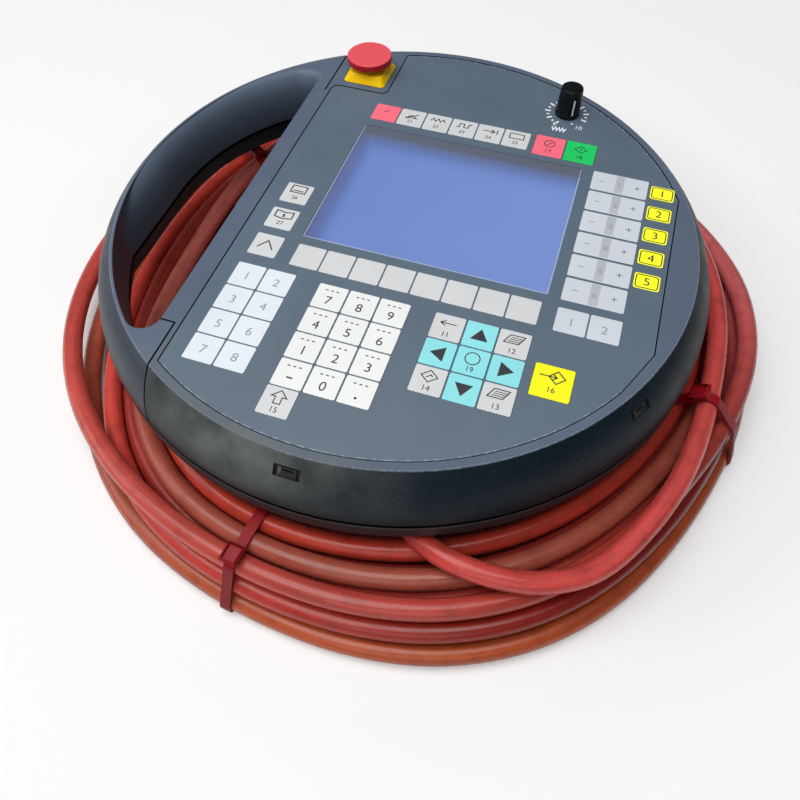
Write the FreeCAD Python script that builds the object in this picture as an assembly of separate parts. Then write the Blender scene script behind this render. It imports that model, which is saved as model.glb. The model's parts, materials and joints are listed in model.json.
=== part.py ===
import FreeCAD, Part
import math
import os

# Handheld operator terminal, in millimetres.
# The origin is the centre of the round housing on the flat rear face that it rests on.
# X points to the right of the face, Y to its back and Z up.

V = FreeCAD.Vector
UP = V(0, 0, 1)

# Housing
HOUSING_R = 145.0        # widest radius, at the seam between the shells
BAND_FLARE = 11.5        # how far the side band flares out below the face
FACE_Z = 76.0            # height of the face over the rest face
BAND_H = 25.0            # height of the flared side band
RIM_H = 9.6              # height of the rear shell's rim
RIM_ROUND = 2.5          # rounding under the rim
SEAM = 0.8               # open seam between mouldings
WALL = 3.0               # housing wall
CLEAR = 0.3              # clearance of a piece in its place
FACE_PLATE = 3.0         # face wall under the keypad

# Hand opening and grip
GRIP_REACH = 68.0        # from the widest radius to the straight side of the hand opening
STRIP_W = 7.0            # strip of the front shell beside the opening
GRIP_EDGE = 1.2          # top of the grip at its upright lower end
GRIP_T = 20.4            # thickness of the rounded grip at the seam
GRIP_FOOT_Y = 5.0        # where the straight inner side starts to curve
GRIP_ROUND_W = 9.0       # width of the rounded inner flank
GRIP_TAIL = 18.0         # run of the rounded flank inside the upright wall
GRIP_SET_BACK = 3.0      # lower half of the grip, back from the side of the opening
PINCH_R = 7.0            # rounding of the opening's upper end
PINCH_INSET = 28.6       # its centre, in from the corner of the straight side and the wall
TIP_R = 8.0              # rounding of the opening's lower end

# Rear pot
POT_R = 86.0
POT_SHIFT = 14.0         # the pot's axis to the right of the housing's
POT_TAPER = 4.0          # how much narrower the pot is at its floor
POT_FLAT = 10.0          # cut off the round pot by its flat side, towards the hand opening
POT_FLOOR = 5.0
COVER_L = 90.0
COVER_W = 60.0
COVER_BACK = 2.0         # back edge of the cover, behind the middle of the pot
COVER_T = 3.0
COVER_LEDGE = 8.0

# Keypad foil
FOIL_MARGIN = 4.0        # face left round the foil
FOIL_STRIP = 2.5         # face left beside its straight left edge, over the strip
FOIL_RIGHT_CUT = 9.5     # cut off its round outline by the straight right edge
FOIL_SLANT_CUT = 19.2    # cut off its round outline by the slanted corner
FOIL_CORNER = 4.0
NOTCH_SIDE = 14.7        # notch in the foil, from the stop button's axis
NOTCH_FRONT = 16.0
FOIL_T = 1.5
FOIL_DROP = 0.2          # foil top below the face
FOIL_GAP = 0.5           # groove round the foil
BOARD_T = 0.8            # keypad board under the foil
BOARD_INSET = 0.5
DOME_R = 4.0
DOME_H = 0.3

# Keys; places on the face are counted in key pitches from the centre
PITCHES = 10.43          # key pitches in the housing's radius
KEY_SPACE = 0.7          # foil between two keys
KEY_RISE = 0.25          # key top over the foil
KEY_TRAVEL = 0.4
KEY_SIDE = 0.15          # clearance of a key in its window
KEY_CORNER = 0.8
NUMERIC_AT = (-1.53, -3.73)      # upper left corner of the numeric block
SHIFT_AT = (-1.54, -7.72)
CURSOR_AT = (2.21, -3.74)        # upper left corner of the cursor block
INPUT_AT = (5.45, -4.63)
INPUT_SIDE = 1.15                # in pitches
RUN_AT = (3.34, 5.56)            # stop and start keys
RUN_SIZE = (1.09, 1.11)
RUN_STEP = 1.137
FUNCTION_AT = (-2.81, 5.5)       # row over the display
FUNCTION_COUNT = 6
SOFT_AT = (-2.79, -2.36)         # row under the display
SOFT_COUNT = 8
MENU_AT = (-4.27, 0.29)          # column beside the display
MENU_STEP = 1.288
MENU_COUNT = 3
USER_AT = (-4.3, -3.68)          # two columns under it
USER_ROWS = 4
AXIS_AT = (5.66, 4.18)           # strips on the right
AXIS_SIZE = (1.92, 0.965)
AXIS_STEP = 1.058
AXIS_COUNT = 6
AUX_AT = (5.66, -2.39)           # pair of keys under the strips

# Display
VIEW_AT = (1.2, 1.08)            # centre of the display, in pitches
VIEW_SIZE = (8.13, 6.17)
PANE_EDGE = 3.0          # pane hidden under the foil on each side
PANE_T = 2.0
PANE_DROP = 0.1          # raised middle of the pane, below the top of the foil
MODULE_EDGE = 4.5
MODULE_T = 5.4
BRACKET_EDGE = 6.0
BRACKET_T = 8.0
BRACKET_LIP = 6.0

# Stop button
STOP_LEFT = 15.3         # axis, in from the foil's straight left edge
STOP_INSET = 19.8        # axis, in from the edge of the face
COLLAR_SIDE = 23.5
COLLAR_TOP = 18.5
COLLAR_H = 4.4
COLLAR_CORNER = 2.5
BARREL_R = 8.0
BARREL_END = 58.0        # lower end of the barrel
PLUNGER_R = 6.0
RUNNING = 0.06           # radial clearance of a running fit
PLUNGER_L = 21.6
PIN_R = 3.0
PIN_L = 2.0
HEAD_R = 12.0
HEAD_T = 3.4
HEAD_EDGE = 0.5
STOP_TRAVEL = 3.0
HEAD_REST = 0.2          # head over the collar when it is pushed in
BLOCK_SIDE = 24.0
BLOCK_H = 12.0
BLOCK_FLOOR = 4.0
SPRING_WIRE = 0.5        # radius of the wire
SPRING_R = 4.2
SPRING_TURNS = 4
SPRING_STEPS = 12        # straight lengths in a turn
SPRING_SIDES = 5

# Override knob
KNOB_ANGLE = 59.9
KNOB_INSET = 14.6        # axis, in from the foil's round edge
KNOB_R = 6.4
KNOB_TOP_R = 5.75
KNOB_H = 14.6
KNOB_GAP = 0.5           # under the knob
KNOB_GROOVE = 0.3
KNOB_SKIRT = 1.6
KNOB_CAP = 2.2
SHAFT_R = 3.0
SHAFT_L = 26.0
BUSH_R = 4.5
POTI_R = 9.0
POTI_H = 10.0

# Enabling switches
ENABLE_L = 46.0
ENABLE_H = 14.0
ENABLE_Z = 22.0
ENABLE_OUT = 5.0         # how far a button stands out
ENABLE_IN = 8.0
ENABLE_TRAVEL = 3.0
ENABLE_ROUND = 2.0
SWITCH_T = 12.0
SWITCH_L = 28.0
SWITCH_H = 26.0
PAD_OUT = 1.5            # flat pad on the round side of the pot
PAD_EDGE = 7.0

# Main board
MAIN_SIDE = 100.0
MAIN_SHIFT = 6.0         # board to the right of the pot's axis
MAIN_T = 1.6
MAIN_Z = 22.0
BOSS_R = 4.0
BOSS_INSET = 6.0
CHIP = 30.0
CHIP_H = 4.0
SOCKET_L = 40.0
SOCKET_W = 8.0
SOCKET_H = 9.0

# Screws
SCREW_R = 1.6
SCREW_L = 10.0
SCREW_HEAD_R = 3.0
SCREW_HEAD_H = 2.0
SCREW_SINK = 0.2         # head below the surface
PILOT = 0.1              # radial room of a screw in its hole
POST_R = 5.0             # screw post
SEAT_H = 6.0             # post on the rear shell
POST_INSET = 19.0        # posts in from the widest radius
POST_ANGLES = (30, 88, -30, -88)
POST_SIDE = 11.0         # posts by the grip, in from the strip
POST_SIDE_Y = (62.0, -72.0)
GRIP_SCREWS = ((10.3, 130.8), (8.8, 233.5), (9.5, 188), (9.0, 165))   # inset and angle of each

# Latch windows in the band
LATCH_W = 10.8
LATCH_H = 5.0
LATCH_DEPTH = 1.6
LATCH_Z = 5.5            # below the face
LATCH_TAB_W = 7.4
LATCH_TAB_H = 4.3
LATCH_TAB_SINK = 0.5     # tab below the surface of the band
LATCH_SLOT_W = 4.6       # slot in the tab
LATCH_SLOT_H = 0.9
LATCH_SLOT_DROP = 0.8    # slot below the tab's upper edge
LATCH_FIRST = -90.5
LATCH_STEP = 60.0
LATCH_COUNT = 4

# Seal
SEAL_W = 1.8

# Cable
CABLE_R = 4.75
GLAND_ANGLE = -80.0
GLAND_Z = 24.0
GLAND_OUT = 2.5          # face of the gland's boss, out from the pot's wall
GLAND_BOSS_R = 14.0
GLAND_FLANGE_R = 12.5
GLAND_FLANGE_T = 4.0
GLAND_SHANK_R = 8.0
GLAND_NUT_T = 4.0
GLAND_NOSE_L = 10.0
GLAND_NOSE_R = 6.6
COIL_X = 0.0
COIL_Y = 0.0
COIL_OUT = 33.0          # coil beyond the widest radius of the housing
COIL_W = 66.0            # across the turns
COIL_H = 36.0
COIL_SHOULDER = 16.0     # inner slope, up to the coil's top
COIL_SLOPE = 22.0        # outer slope
COIL_SIDE_H = 12.0       # upright part of the coil's sides
LEAD_SINK = 3.0          # cable end held in the coil
TIE_ANGLES = (-97.0, -15.0, 148.0)
TIE_W = 4.8
TIE_T = 1.2
TIE_HEAD = 7.0
TIE_HEAD_T = 4.0

# Cable plug
PLUG_ANGLE = 65.5        # where the plug's boot comes out of the coil
PLUG_SINK = 4.0          # boot held in the coil
PLUG_TURN = 187.0        # way that the plug points
PLUG_BOOT_L = 22.0
PLUG_BOOT_R = 6.2
PLUG_BODY_L = 34.0
PLUG_BODY_R = 8.4
PLUG_NOSE_L = 12.0
PLUG_NOSE_R = 7.4
RING_R = 9.5
RING_L = 16.0
RING_BACK = 6.0          # ring behind the end of the body
PLUG_BEVEL = 1.0

# Levels that follow from the sizes above
SEAM_Z = FACE_Z - BAND_H
REAR_TOP = SEAM_Z - SEAM
RIM_Z = REAR_TOP - RIM_H
FOIL_TOP = FACE_Z - FOIL_DROP
FOIL_Z = FOIL_TOP - FOIL_T
BOARD_Z = FOIL_Z - BOARD_T
PLATE_Z = BOARD_Z - FACE_PLATE
FAR = 2 * HOUSING_R

# Places that follow from the sizes above
FACE_EDGE_R = HOUSING_R - BAND_FLARE
FLARE_R = (BAND_FLARE ** 2 + BAND_H ** 2) / (2 * BAND_FLARE)
FLARE_X = HOUSING_R - FLARE_R
CHORD_X = GRIP_REACH - HOUSING_R
STRIP_X = CHORD_X + STRIP_W
CAVITY_X = STRIP_X + WALL
GRIP_WALL_R = FACE_EDGE_R - GRIP_EDGE
GRIP_FOOT_X = GRIP_T - HOUSING_R
PINCH_X = CHORD_X - PINCH_R
PINCH_Y = math.sqrt(GRIP_WALL_R ** 2 - CHORD_X ** 2) - PINCH_INSET
TIP_X = CHORD_X - TIP_R
TIP_Y = -math.sqrt((GRIP_WALL_R - TIP_R) ** 2 - TIP_X ** 2)
POT_X = POT_SHIFT
POT_FLAT_X = POT_X - POT_R + POT_FLAT
GLAND_FACE = POT_R + GLAND_OUT
MAIN_X = POT_X + MAIN_SHIFT
COVER_X = MAIN_X
COVER_Y = COVER_BACK - COVER_W / 2
FOIL_R = FACE_EDGE_R - FOIL_MARGIN
FOIL_LEFT = STRIP_X + FOIL_STRIP
FOIL_RIGHT = FOIL_R - FOIL_RIGHT_CUT
FOIL_SLANT_X = FOIL_R - FOIL_SLANT_CUT
STOP_X = FOIL_LEFT + STOP_LEFT
STOP_Y = math.sqrt((FACE_EDGE_R - STOP_INSET) ** 2 - STOP_X ** 2)
NOTCH_X = STOP_X + NOTCH_SIDE
NOTCH_Y = STOP_Y - NOTCH_FRONT
KNOB_X = (FOIL_R - KNOB_INSET) * math.cos(math.radians(KNOB_ANGLE))
KNOB_Y = (FOIL_R - KNOB_INSET) * math.sin(math.radians(KNOB_ANGLE))
PITCH = HOUSING_R / PITCHES
KEY = PITCH - KEY_SPACE
VIEW_X, VIEW_Y = (PITCH * n for n in VIEW_AT)
VIEW_W, VIEW_H = (PITCH * n for n in VIEW_SIZE)
FOIL_RIGHT_END = AUX_AT[1] * PITCH - KEY
COIL_OUT_R = HOUSING_R + COIL_OUT
COIL_IN_R = COIL_OUT_R - COIL_W
COIL_SHOULDER_R = COIL_IN_R + COIL_SHOULDER
COIL_CREST_R = COIL_OUT_R - COIL_SLOPE


# Small builders
def box(x0, x1, y0, y1, z0, z1):
    """Box between two corners."""
    return Part.makeBox(x1 - x0, y1 - y0, z1 - z0, V(x0, y0, z0))


def plate(cx, cy, length, width, z0, z1):
    """Box centred on a point of the plan."""
    return box(cx - length / 2, cx + length / 2, cy - width / 2, cy + width / 2, z0, z1)


def rod(x, y, r, z0, z1):
    """Upright cylinder."""
    return Part.makeCylinder(r, z1 - z0, V(x, y, z0))


def polar(r, degrees, x=0.0, y=0.0):
    """Point of the plan at a radius and an angle."""
    return x + r * math.cos(math.radians(degrees)), y + r * math.sin(math.radians(degrees))


def loop(start, *steps):
    """Closed wire of lines and arcs: a step is an end point, or a pair of a middle and an end point."""
    edges = []
    here = start
    for step in steps + (start,):
        if isinstance(step, tuple):
            edges.append(Part.Arc(here, step[0], step[1]).toShape())
            here = step[1]
        elif (step - here).Length > 1e-6:
            edges.append(Part.LineSegment(here, step).toShape())
            here = step
    return Part.Wire(edges)


def turned(wire, x=0.0, y=0.0):
    """Solid turned from a profile in the XZ plane about an upright axis."""
    solid = Part.Face(wire).revolve(V(0, 0, 0), UP, 360)
    solid.translate(V(x, y, 0))
    return solid


def prism(wire, z0, z1):
    """Solid raised from a closed wire in the plan."""
    solid = Part.Face(wire).extrude(V(0, 0, z1 - z0))
    solid.translate(V(0, 0, z0 - wire.BoundBox.ZMin))
    return solid


def rounded(cx, cy, length, width, r, z=0.0):
    """Closed wire of a rectangle with round corners."""
    x0, x1 = cx - length / 2, cx + length / 2
    y0, y1 = cy - width / 2, cy + width / 2
    k = r * (1 - math.sqrt(0.5))
    return loop(V(x0 + r, y0, z), V(x1 - r, y0, z), (V(x1 - k, y0 + k, z), V(x1, y0 + r, z)),
                V(x1, y1 - r, z), (V(x1 - k, y1 - k, z), V(x1 - r, y1, z)),
                V(x0 + r, y1, z), (V(x0 + k, y1 - k, z), V(x0, y1 - r, z)),
                V(x0, y0 + r, z), (V(x0 + k, y0 + k, z), V(x0 + r, y0, z)))


def joined(shapes):
    """One solid from shapes that meet."""
    first, *rest = shapes
    return first.fuse(rest).removeSplitter() if rest else first


def grown(wire, by):
    """Outline moved outwards, or inwards where the distance is negative."""
    return Part.Face(wire).makeOffset2D(by).OuterWire


# Housing
def flare_at(z, inset=0.0):
    """Radius of the flared band at a height, moved in by an inset."""
    return FLARE_X + math.sqrt((FLARE_R - inset) ** 2 - (z - SEAM_Z) ** 2)


def flared_disc(top, inset=0.0):
    """Round body with the flared side, from the seam to a height."""
    r0, r1 = flare_at(SEAM_Z, inset), flare_at(top, inset)
    middle = (SEAM_Z + top) / 2
    return turned(loop(V(0, 0, SEAM_Z), V(r0, 0, SEAM_Z),
                       (V(flare_at(middle, inset), 0, middle), V(r1, 0, top)), V(0, 0, top)))


TIP_SCALE = GRIP_WALL_R / (GRIP_WALL_R - TIP_R)
TIP_END = V(TIP_X * TIP_SCALE, TIP_Y * TIP_SCALE, 0)
TIP_MID = V(TIP_X + TIP_R * math.cos(math.radians(-65)), TIP_Y + TIP_R * math.sin(math.radians(-65)), 0)


def grip_arc():
    """Centre and radius of the grip's curved inner side, tangent to its neighbours at both ends."""
    side = PINCH_X - GRIP_FOOT_X
    rise = PINCH_Y - GRIP_FOOT_Y
    radius = (side ** 2 + rise ** 2 - PINCH_R ** 2) / (2 * (side - PINCH_R))
    return GRIP_FOOT_X + radius, GRIP_FOOT_Y, radius


ARC_X, ARC_Y, ARC_R = grip_arc()
ARC_TURN = math.degrees(math.atan2(PINCH_Y - ARC_Y, PINCH_X - ARC_X))


def grip_path(tail_y):
    """Edges of the grip's inner side from its lower end to the strip of the front shell."""
    start = V(GRIP_FOOT_X, tail_y, 0)
    bend = V(ARC_X - ARC_R, ARC_Y, 0)
    middle = V(*polar(ARC_R, (180 + ARC_TURN) / 2, ARC_X, ARC_Y), 0)
    pinch = V(*polar(ARC_R, ARC_TURN, ARC_X, ARC_Y), 0)
    pinch_mid = V(*polar(PINCH_R, ARC_TURN / 2, PINCH_X, PINCH_Y), 0)
    end = V(CHORD_X, PINCH_Y, 0)
    return (Part.LineSegment(start, bend).toShape(), Part.Arc(bend, middle, pinch).toShape(),
            Part.Arc(pinch, pinch_mid, end).toShape())


def hand_opening():
    """Outline of the hand opening at the seam."""
    foot_y = -math.sqrt(GRIP_WALL_R ** 2 - GRIP_FOOT_X ** 2)
    foot = V(GRIP_FOOT_X, foot_y, 0)
    a0 = math.degrees(math.atan2(foot_y, GRIP_FOOT_X))
    a1 = math.degrees(math.atan2(TIP_END.y, TIP_END.x))
    wall_mid = V(*polar(GRIP_WALL_R, (a0 + a1) / 2), 0)
    chord_foot = V(CHORD_X, TIP_Y, 0)
    edges = list(grip_path(foot_y))
    edges.append(Part.LineSegment(V(CHORD_X, PINCH_Y, 0), chord_foot).toShape())
    edges.append(Part.Arc(chord_foot, TIP_MID, TIP_END).toShape())
    edges.append(Part.Arc(TIP_END, wall_mid, foot).toShape())
    return Part.Wire(edges)


def grip_scoop():
    """Upright cut inside the grip, before its rounded flank is added."""
    top_y = PINCH_Y + PINCH_R + GRIP_ROUND_W
    top = V(-math.sqrt(GRIP_WALL_R ** 2 - top_y ** 2), top_y, 0)
    chord_foot = V(CHORD_X, TIP_Y, 0)
    return loop(chord_foot, V(CHORD_X, top_y, 0), top,
                (V(-GRIP_WALL_R, 0, 0), TIP_END), (TIP_MID, chord_foot))


def grip_flank():
    """Rounded inner flank of the grip: an elliptic section led along the inner side."""
    y = -math.sqrt(GRIP_WALL_R ** 2 - GRIP_FOOT_X ** 2) - GRIP_TAIL
    centre = V(GRIP_FOOT_X - GRIP_ROUND_W, y, SEAM_Z)
    top = V(centre.x, y, FACE_Z)
    foot = V(GRIP_FOOT_X, y, SEAM_Z)
    curve = Part.Ellipse(top, foot, centre)
    out_x = GRIP_FOOT_X - HOUSING_R / 4
    edges = [Part.Edge(curve, curve.parameter(top), curve.parameter(foot)),
             Part.LineSegment(foot, V(out_x, y, SEAM_Z)).toShape(),
             Part.LineSegment(V(out_x, y, SEAM_Z), V(out_x, y, FACE_Z)).toShape(),
             Part.LineSegment(V(out_x, y, FACE_Z), top).toShape()]
    section = Part.Wire(Part.__sortEdges__(edges))
    return Part.Wire(list(grip_path(y))).makePipeShell([section], True, True)


def grip_handle():
    """Grip moulding, with its upright wall, rounded flank and seams."""
    disc = flared_disc(FACE_Z)
    region = box(-FAR, STRIP_X - SEAM, -FAR, FAR, 0, FAR)
    ring = disc.common(region)
    strip = box(CHORD_X, STRIP_X, TIP_Y - SEAM, PINCH_Y, 0, FAR)
    body = ring.cut([prism(grip_scoop(), 0, FAR), strip])
    flank = grip_flank().common(ring).cut(strip)
    solid = joined([body, flank])
    return solid.cut(screw_holes(HANDLE_POSTS, REAR_TOP + SEAM, SCREW_L))


def latch_windows():
    """Small pockets in the band, each with a slotted tab left standing."""
    cuts = []
    z = FACE_Z - LATCH_Z
    slope = math.degrees(math.atan2(z - SEAM_Z, flare_at(z) - FLARE_X))
    low = -LATCH_H / 2
    tab_top = low + LATCH_TAB_H
    slot_top = tab_top - LATCH_SLOT_DROP
    for i in range(LATCH_COUNT):
        pocket = box(-LATCH_DEPTH, LATCH_DEPTH, -LATCH_W / 2, LATCH_W / 2, low, -low)
        tab = box(-LATCH_DEPTH, -LATCH_TAB_SINK, -LATCH_TAB_W / 2, LATCH_TAB_W / 2, low, tab_top)
        slot = box(-LATCH_DEPTH, 0, -LATCH_SLOT_W / 2, LATCH_SLOT_W / 2, slot_top - LATCH_SLOT_H, slot_top)
        cut = pocket.cut(tab.cut(slot))
        cut.rotate(V(0, 0, 0), V(0, 1, 0), -slope)
        cut.translate(V(flare_at(z), 0, z))
        cut.rotate(V(0, 0, 0), UP, LATCH_FIRST + i * LATCH_STEP)
        cuts.append(cut)
    return cuts


def foil_outline():
    """Outline of the keypad foil."""
    low = V(FOIL_LEFT, -math.sqrt(FOIL_R ** 2 - FOIL_LEFT ** 2), 0)
    notch_top = V(NOTCH_X, math.sqrt(FOIL_R ** 2 - NOTCH_X ** 2), 0)
    right_top = V(FOIL_RIGHT, math.sqrt(FOIL_R ** 2 - FOIL_RIGHT ** 2), 0)
    slant = V(FOIL_SLANT_X, -math.sqrt(FOIL_R ** 2 - FOIL_SLANT_X ** 2), 0)
    c = FOIL_CORNER
    k = c * (1 - math.sqrt(0.5))
    back = V(*polar(FOIL_R, 65), 0)
    front = V(*polar(FOIL_R, -80), 0)
    return loop(low, V(FOIL_LEFT, NOTCH_Y - c, 0),
                (V(FOIL_LEFT + k, NOTCH_Y - k, 0), V(FOIL_LEFT + c, NOTCH_Y, 0)),
                V(NOTCH_X - c, NOTCH_Y, 0), (V(NOTCH_X - k, NOTCH_Y + k, 0), V(NOTCH_X, NOTCH_Y + c, 0)),
                notch_top, (back, right_top), V(FOIL_RIGHT, FOIL_RIGHT_END, 0), slant, (front, low))


FRONT_POSTS = [polar(HOUSING_R - POST_INSET, a) for a in POST_ANGLES]
FRONT_POSTS += [(STRIP_X + POST_SIDE, y) for y in POST_SIDE_Y]
HANDLE_POSTS = [polar(HOUSING_R - inset, a) for inset, a in GRIP_SCREWS]
COVER_POSTS = [(COVER_X + sx * (COVER_L - COVER_LEDGE) / 2, COVER_Y + sy * (COVER_W - COVER_LEDGE) / 2)
               for sx in (-1, 1) for sy in (-1, 1)]


def screw_holes(places, z, depth):
    """Pilot holes for screws."""
    return [rod(x, y, SCREW_R + PILOT, z - WALL, z + depth) for x, y in places]


def head_sinks(places, z):
    """Recesses for screw heads, open below."""
    depth = SCREW_HEAD_H + SCREW_SINK
    return [rod(x, y, SCREW_HEAD_R + CLEAR, z - WALL, z + depth) for x, y in places]


def front_shell():
    """Upper housing with its face, band and keypad recess."""
    disc = flared_disc(FACE_Z)
    strip = box(CHORD_X, STRIP_X, TIP_Y, PINCH_Y, 0, FAR)
    outer = disc.common(joined([box(STRIP_X, FAR, -FAR, FAR, 0, FAR), strip]))
    cavity = flared_disc(PLATE_Z, WALL).common(box(CAVITY_X, FAR, -FAR, FAR, 0, FAR))
    cavity = cavity.fuse(prism(Part.Wire(cavity_rim(WALL)), SEAM_Z - WALL, SEAM_Z))
    shell = outer.cut(cavity)
    seat_z = RIM_Z + SEAT_H
    posts = [rod(x, y, POST_R, seat_z, PLATE_Z) for x, y in FRONT_POSTS]
    shell = joined([shell] + posts)
    cuts = [prism(grown(foil_outline(), FOIL_GAP), BOARD_Z, FAR),
            plate(VIEW_X, VIEW_Y, VIEW_W, VIEW_H, 0, FAR),
            plate(VIEW_X, VIEW_Y, PANE_W + 2 * CLEAR, PANE_H + 2 * CLEAR, PANE_Z, FAR),
            rod(STOP_X, STOP_Y, BARREL_R + CLEAR, 0, FAR),
            rod(KNOB_X, KNOB_Y, BUSH_R + CLEAR, 0, FAR)]
    cuts += screw_holes(FRONT_POSTS, seat_z, SCREW_L)
    return shell.cut(cuts + latch_windows())


def cavity_rim(inset):
    """Edges of the housing's inner outline at the seam: the round wall and the straight wall by the grip."""
    r = HOUSING_R - inset
    x = STRIP_X + inset
    y = math.sqrt(r ** 2 - x ** 2)
    return [Part.Arc(V(x, -y, 0), V(r, 0, 0), V(x, y, 0)).toShape(),
            Part.LineSegment(V(x, y, 0), V(x, -y, 0)).toShape()]


def pot_outline(z):
    """Outline of the pot at a height: round, with a flat side towards the hand opening."""
    r = POT_R - POT_TAPER * (RIM_Z - z) / RIM_Z
    y = math.sqrt(r ** 2 - (POT_FLAT_X - POT_X) ** 2)
    low, high = V(POT_FLAT_X, -y, z), V(POT_FLAT_X, y, z)
    return loop(low, (V(POT_X + r, 0, z), high))


def pot_solid(z0, z1, inset=0.0):
    """Tapered body of the pot between two heights, moved in by an inset."""
    wires = [pot_outline(z) for z in (z0, z1)]
    if inset:
        wires = [grown(wire, -inset) for wire in wires]
    return Part.makeLoft(wires, True, True)


def gland_axis(distance):
    """Point on the cable's way out of the pot, at a distance from the pot's axis."""
    x, y = polar(distance, GLAND_ANGLE, POT_X, 0)
    return V(x, y, GLAND_Z)


GLAND_WAY = V(math.cos(math.radians(GLAND_ANGLE)), math.sin(math.radians(GLAND_ANGLE)), 0)


def along_gland(r, start, length):
    """Cylinder on the cable's way out of the pot."""
    return Part.makeCylinder(r, length, gland_axis(start), GLAND_WAY)


BUTTON_Y = ENABLE_L / 2
PAD_X = POT_X + POT_R + PAD_OUT
GLAND_BOSS_L = POT_TAPER + 2 * WALL


def rim_disc():
    """Round body of the rim, with its rounded lower edge."""
    r, k = RIM_ROUND, RIM_ROUND * (1 - math.sqrt(0.5))
    return turned(loop(V(0, 0, RIM_Z), V(HOUSING_R - r, 0, RIM_Z),
                       (V(HOUSING_R - k, 0, RIM_Z + k), V(HOUSING_R, 0, RIM_Z + r)),
                       V(HOUSING_R, 0, REAR_TOP), V(0, 0, REAR_TOP)))


def grip_zone():
    """Space to the left of the strip beside the hand opening, which the grip takes up."""
    strip = box(CHORD_X, STRIP_X, TIP_Y, PINCH_Y, -FAR, FAR)
    return box(-FAR, STRIP_X, -FAR, FAR, RIM_Z, FAR).cut(strip)


def grip_base():
    """Lower half of the grip, under the grip moulding."""
    opening = prism(grown(hand_opening(), GRIP_SET_BACK), 0, FAR)
    base = rim_disc().common(grip_zone()).cut(opening)
    return base.cut(screw_holes(HANDLE_POSTS, RIM_Z, FAR) + head_sinks(HANDLE_POSTS, RIM_Z))


def rear_shell():
    """Lower housing: rim, underside and the pot that the terminal rests on."""
    rim = rim_disc().cut(grip_zone())
    pot = pot_solid(0, RIM_Z)
    pad = box(POT_X, PAD_X, -BUTTON_Y - PAD_EDGE, BUTTON_Y + PAD_EDGE,
              ENABLE_Z - ENABLE_H / 2 - PAD_EDGE, RIM_Z)
    gland_boss = along_gland(GLAND_BOSS_R, GLAND_FACE - GLAND_BOSS_L, GLAND_BOSS_L)
    outside = joined([rim, pot, pad, gland_boss])
    hollow = pot_solid(POT_FLOOR, RIM_Z, WALL).fuse(
        [prism(grown(pot_outline(RIM_Z), -WALL), RIM_Z - WALL, RIM_Z + 2 * WALL),
         prism(Part.Wire(cavity_rim(WALL)), RIM_Z + WALL, FAR)])
    pad_wall = box(PAD_X - WALL - PAD_OUT - POT_TAPER, PAD_X, -BUTTON_Y - PAD_EDGE, BUTTON_Y + PAD_EDGE,
                   ENABLE_Z - ENABLE_H / 2 - PAD_EDGE, RIM_Z)
    boss_wall = along_gland(GLAND_BOSS_R, GLAND_FACE - GLAND_BOSS_L, GLAND_BOSS_L)
    shell = outside.cut(hollow.cut([pad_wall, boss_wall]))
    half = MAIN_SIDE / 2 - BOSS_INSET
    inner = [rod(MAIN_X + sx * half, sy * half, BOSS_R, POT_FLOOR / 2, MAIN_Z)
             for sx in (-1, 1) for sy in (-1, 1)]
    inner += [rod(x, y, POST_R, RIM_Z + WALL / 2, RIM_Z + SEAT_H) for x, y in FRONT_POSTS]
    inner += [rod(x, y, BOSS_R, COVER_T, COVER_T + SCREW_L + WALL) for x, y in COVER_POSTS]
    shell = joined([shell] + inner)
    cuts = [plate(COVER_X, COVER_Y, COVER_L + 2 * CLEAR, COVER_W + 2 * CLEAR, -WALL, COVER_T),
            plate(COVER_X, COVER_Y, COVER_L - 2 * COVER_LEDGE, COVER_W - 2 * COVER_LEDGE,
                  -WALL, POT_FLOOR + WALL),
            along_gland(GLAND_SHANK_R + CLEAR, POT_R / 2, POT_R),
            box(-FAR, POT_FLAT_X + 2 * WALL, -BUTTON_Y - CLEAR, BUTTON_Y + CLEAR,
                ENABLE_Z - ENABLE_H / 2 - CLEAR, ENABLE_Z + ENABLE_H / 2 + CLEAR),
            box(POT_X + POT_R / 2, FAR, -BUTTON_Y - CLEAR, BUTTON_Y + CLEAR,
                ENABLE_Z - ENABLE_H / 2 - CLEAR, ENABLE_Z + ENABLE_H / 2 + CLEAR)]
    cuts += screw_holes(FRONT_POSTS, RIM_Z, FAR) + head_sinks(FRONT_POSTS, RIM_Z)
    cuts += screw_holes(COVER_POSTS, COVER_T, SCREW_L)
    return shell.cut(cuts)


def cable_cover():
    """Flush cover of the cable compartment in the rest face."""
    cover = plate(COVER_X, COVER_Y, COVER_L, COVER_W, 0, COVER_T)
    return cover.cut(screw_holes(COVER_POSTS, 0, COVER_T + WALL) + head_sinks(COVER_POSTS, 0))


def housing_seal():
    """Sealing strip between the shells."""
    middle = (WALL - SEAL_W) / 2
    ring = prism(Part.Wire(cavity_rim(middle)), REAR_TOP, SEAM_Z)
    return ring.cut(prism(Part.Wire(cavity_rim(middle + SEAL_W)), 0, FAR))


def screw(x, y, z):
    """Cylinder-head screw that points up, its head sunk below a surface."""
    head = z + SCREW_SINK
    return joined([rod(x, y, SCREW_HEAD_R, head, head + SCREW_HEAD_H),
                   rod(x, y, SCREW_R, head, head + SCREW_HEAD_H + SCREW_L - WALL)])


def housing_screws():
    """All screws that hold the shells, the grip and the cover."""
    places = [(x, y, RIM_Z) for x, y in FRONT_POSTS + HANDLE_POSTS] + [(x, y, 0) for x, y in COVER_POSTS]
    return Part.makeCompound([screw(*place) for place in places])


# Keypad and display
PANE_W = VIEW_W + 2 * PANE_EDGE
PANE_H = VIEW_H + 2 * PANE_EDGE
PANE_Z = FOIL_Z - PANE_T
MODULE_W = VIEW_W + 2 * MODULE_EDGE
MODULE_H = VIEW_H + 2 * MODULE_EDGE


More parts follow.
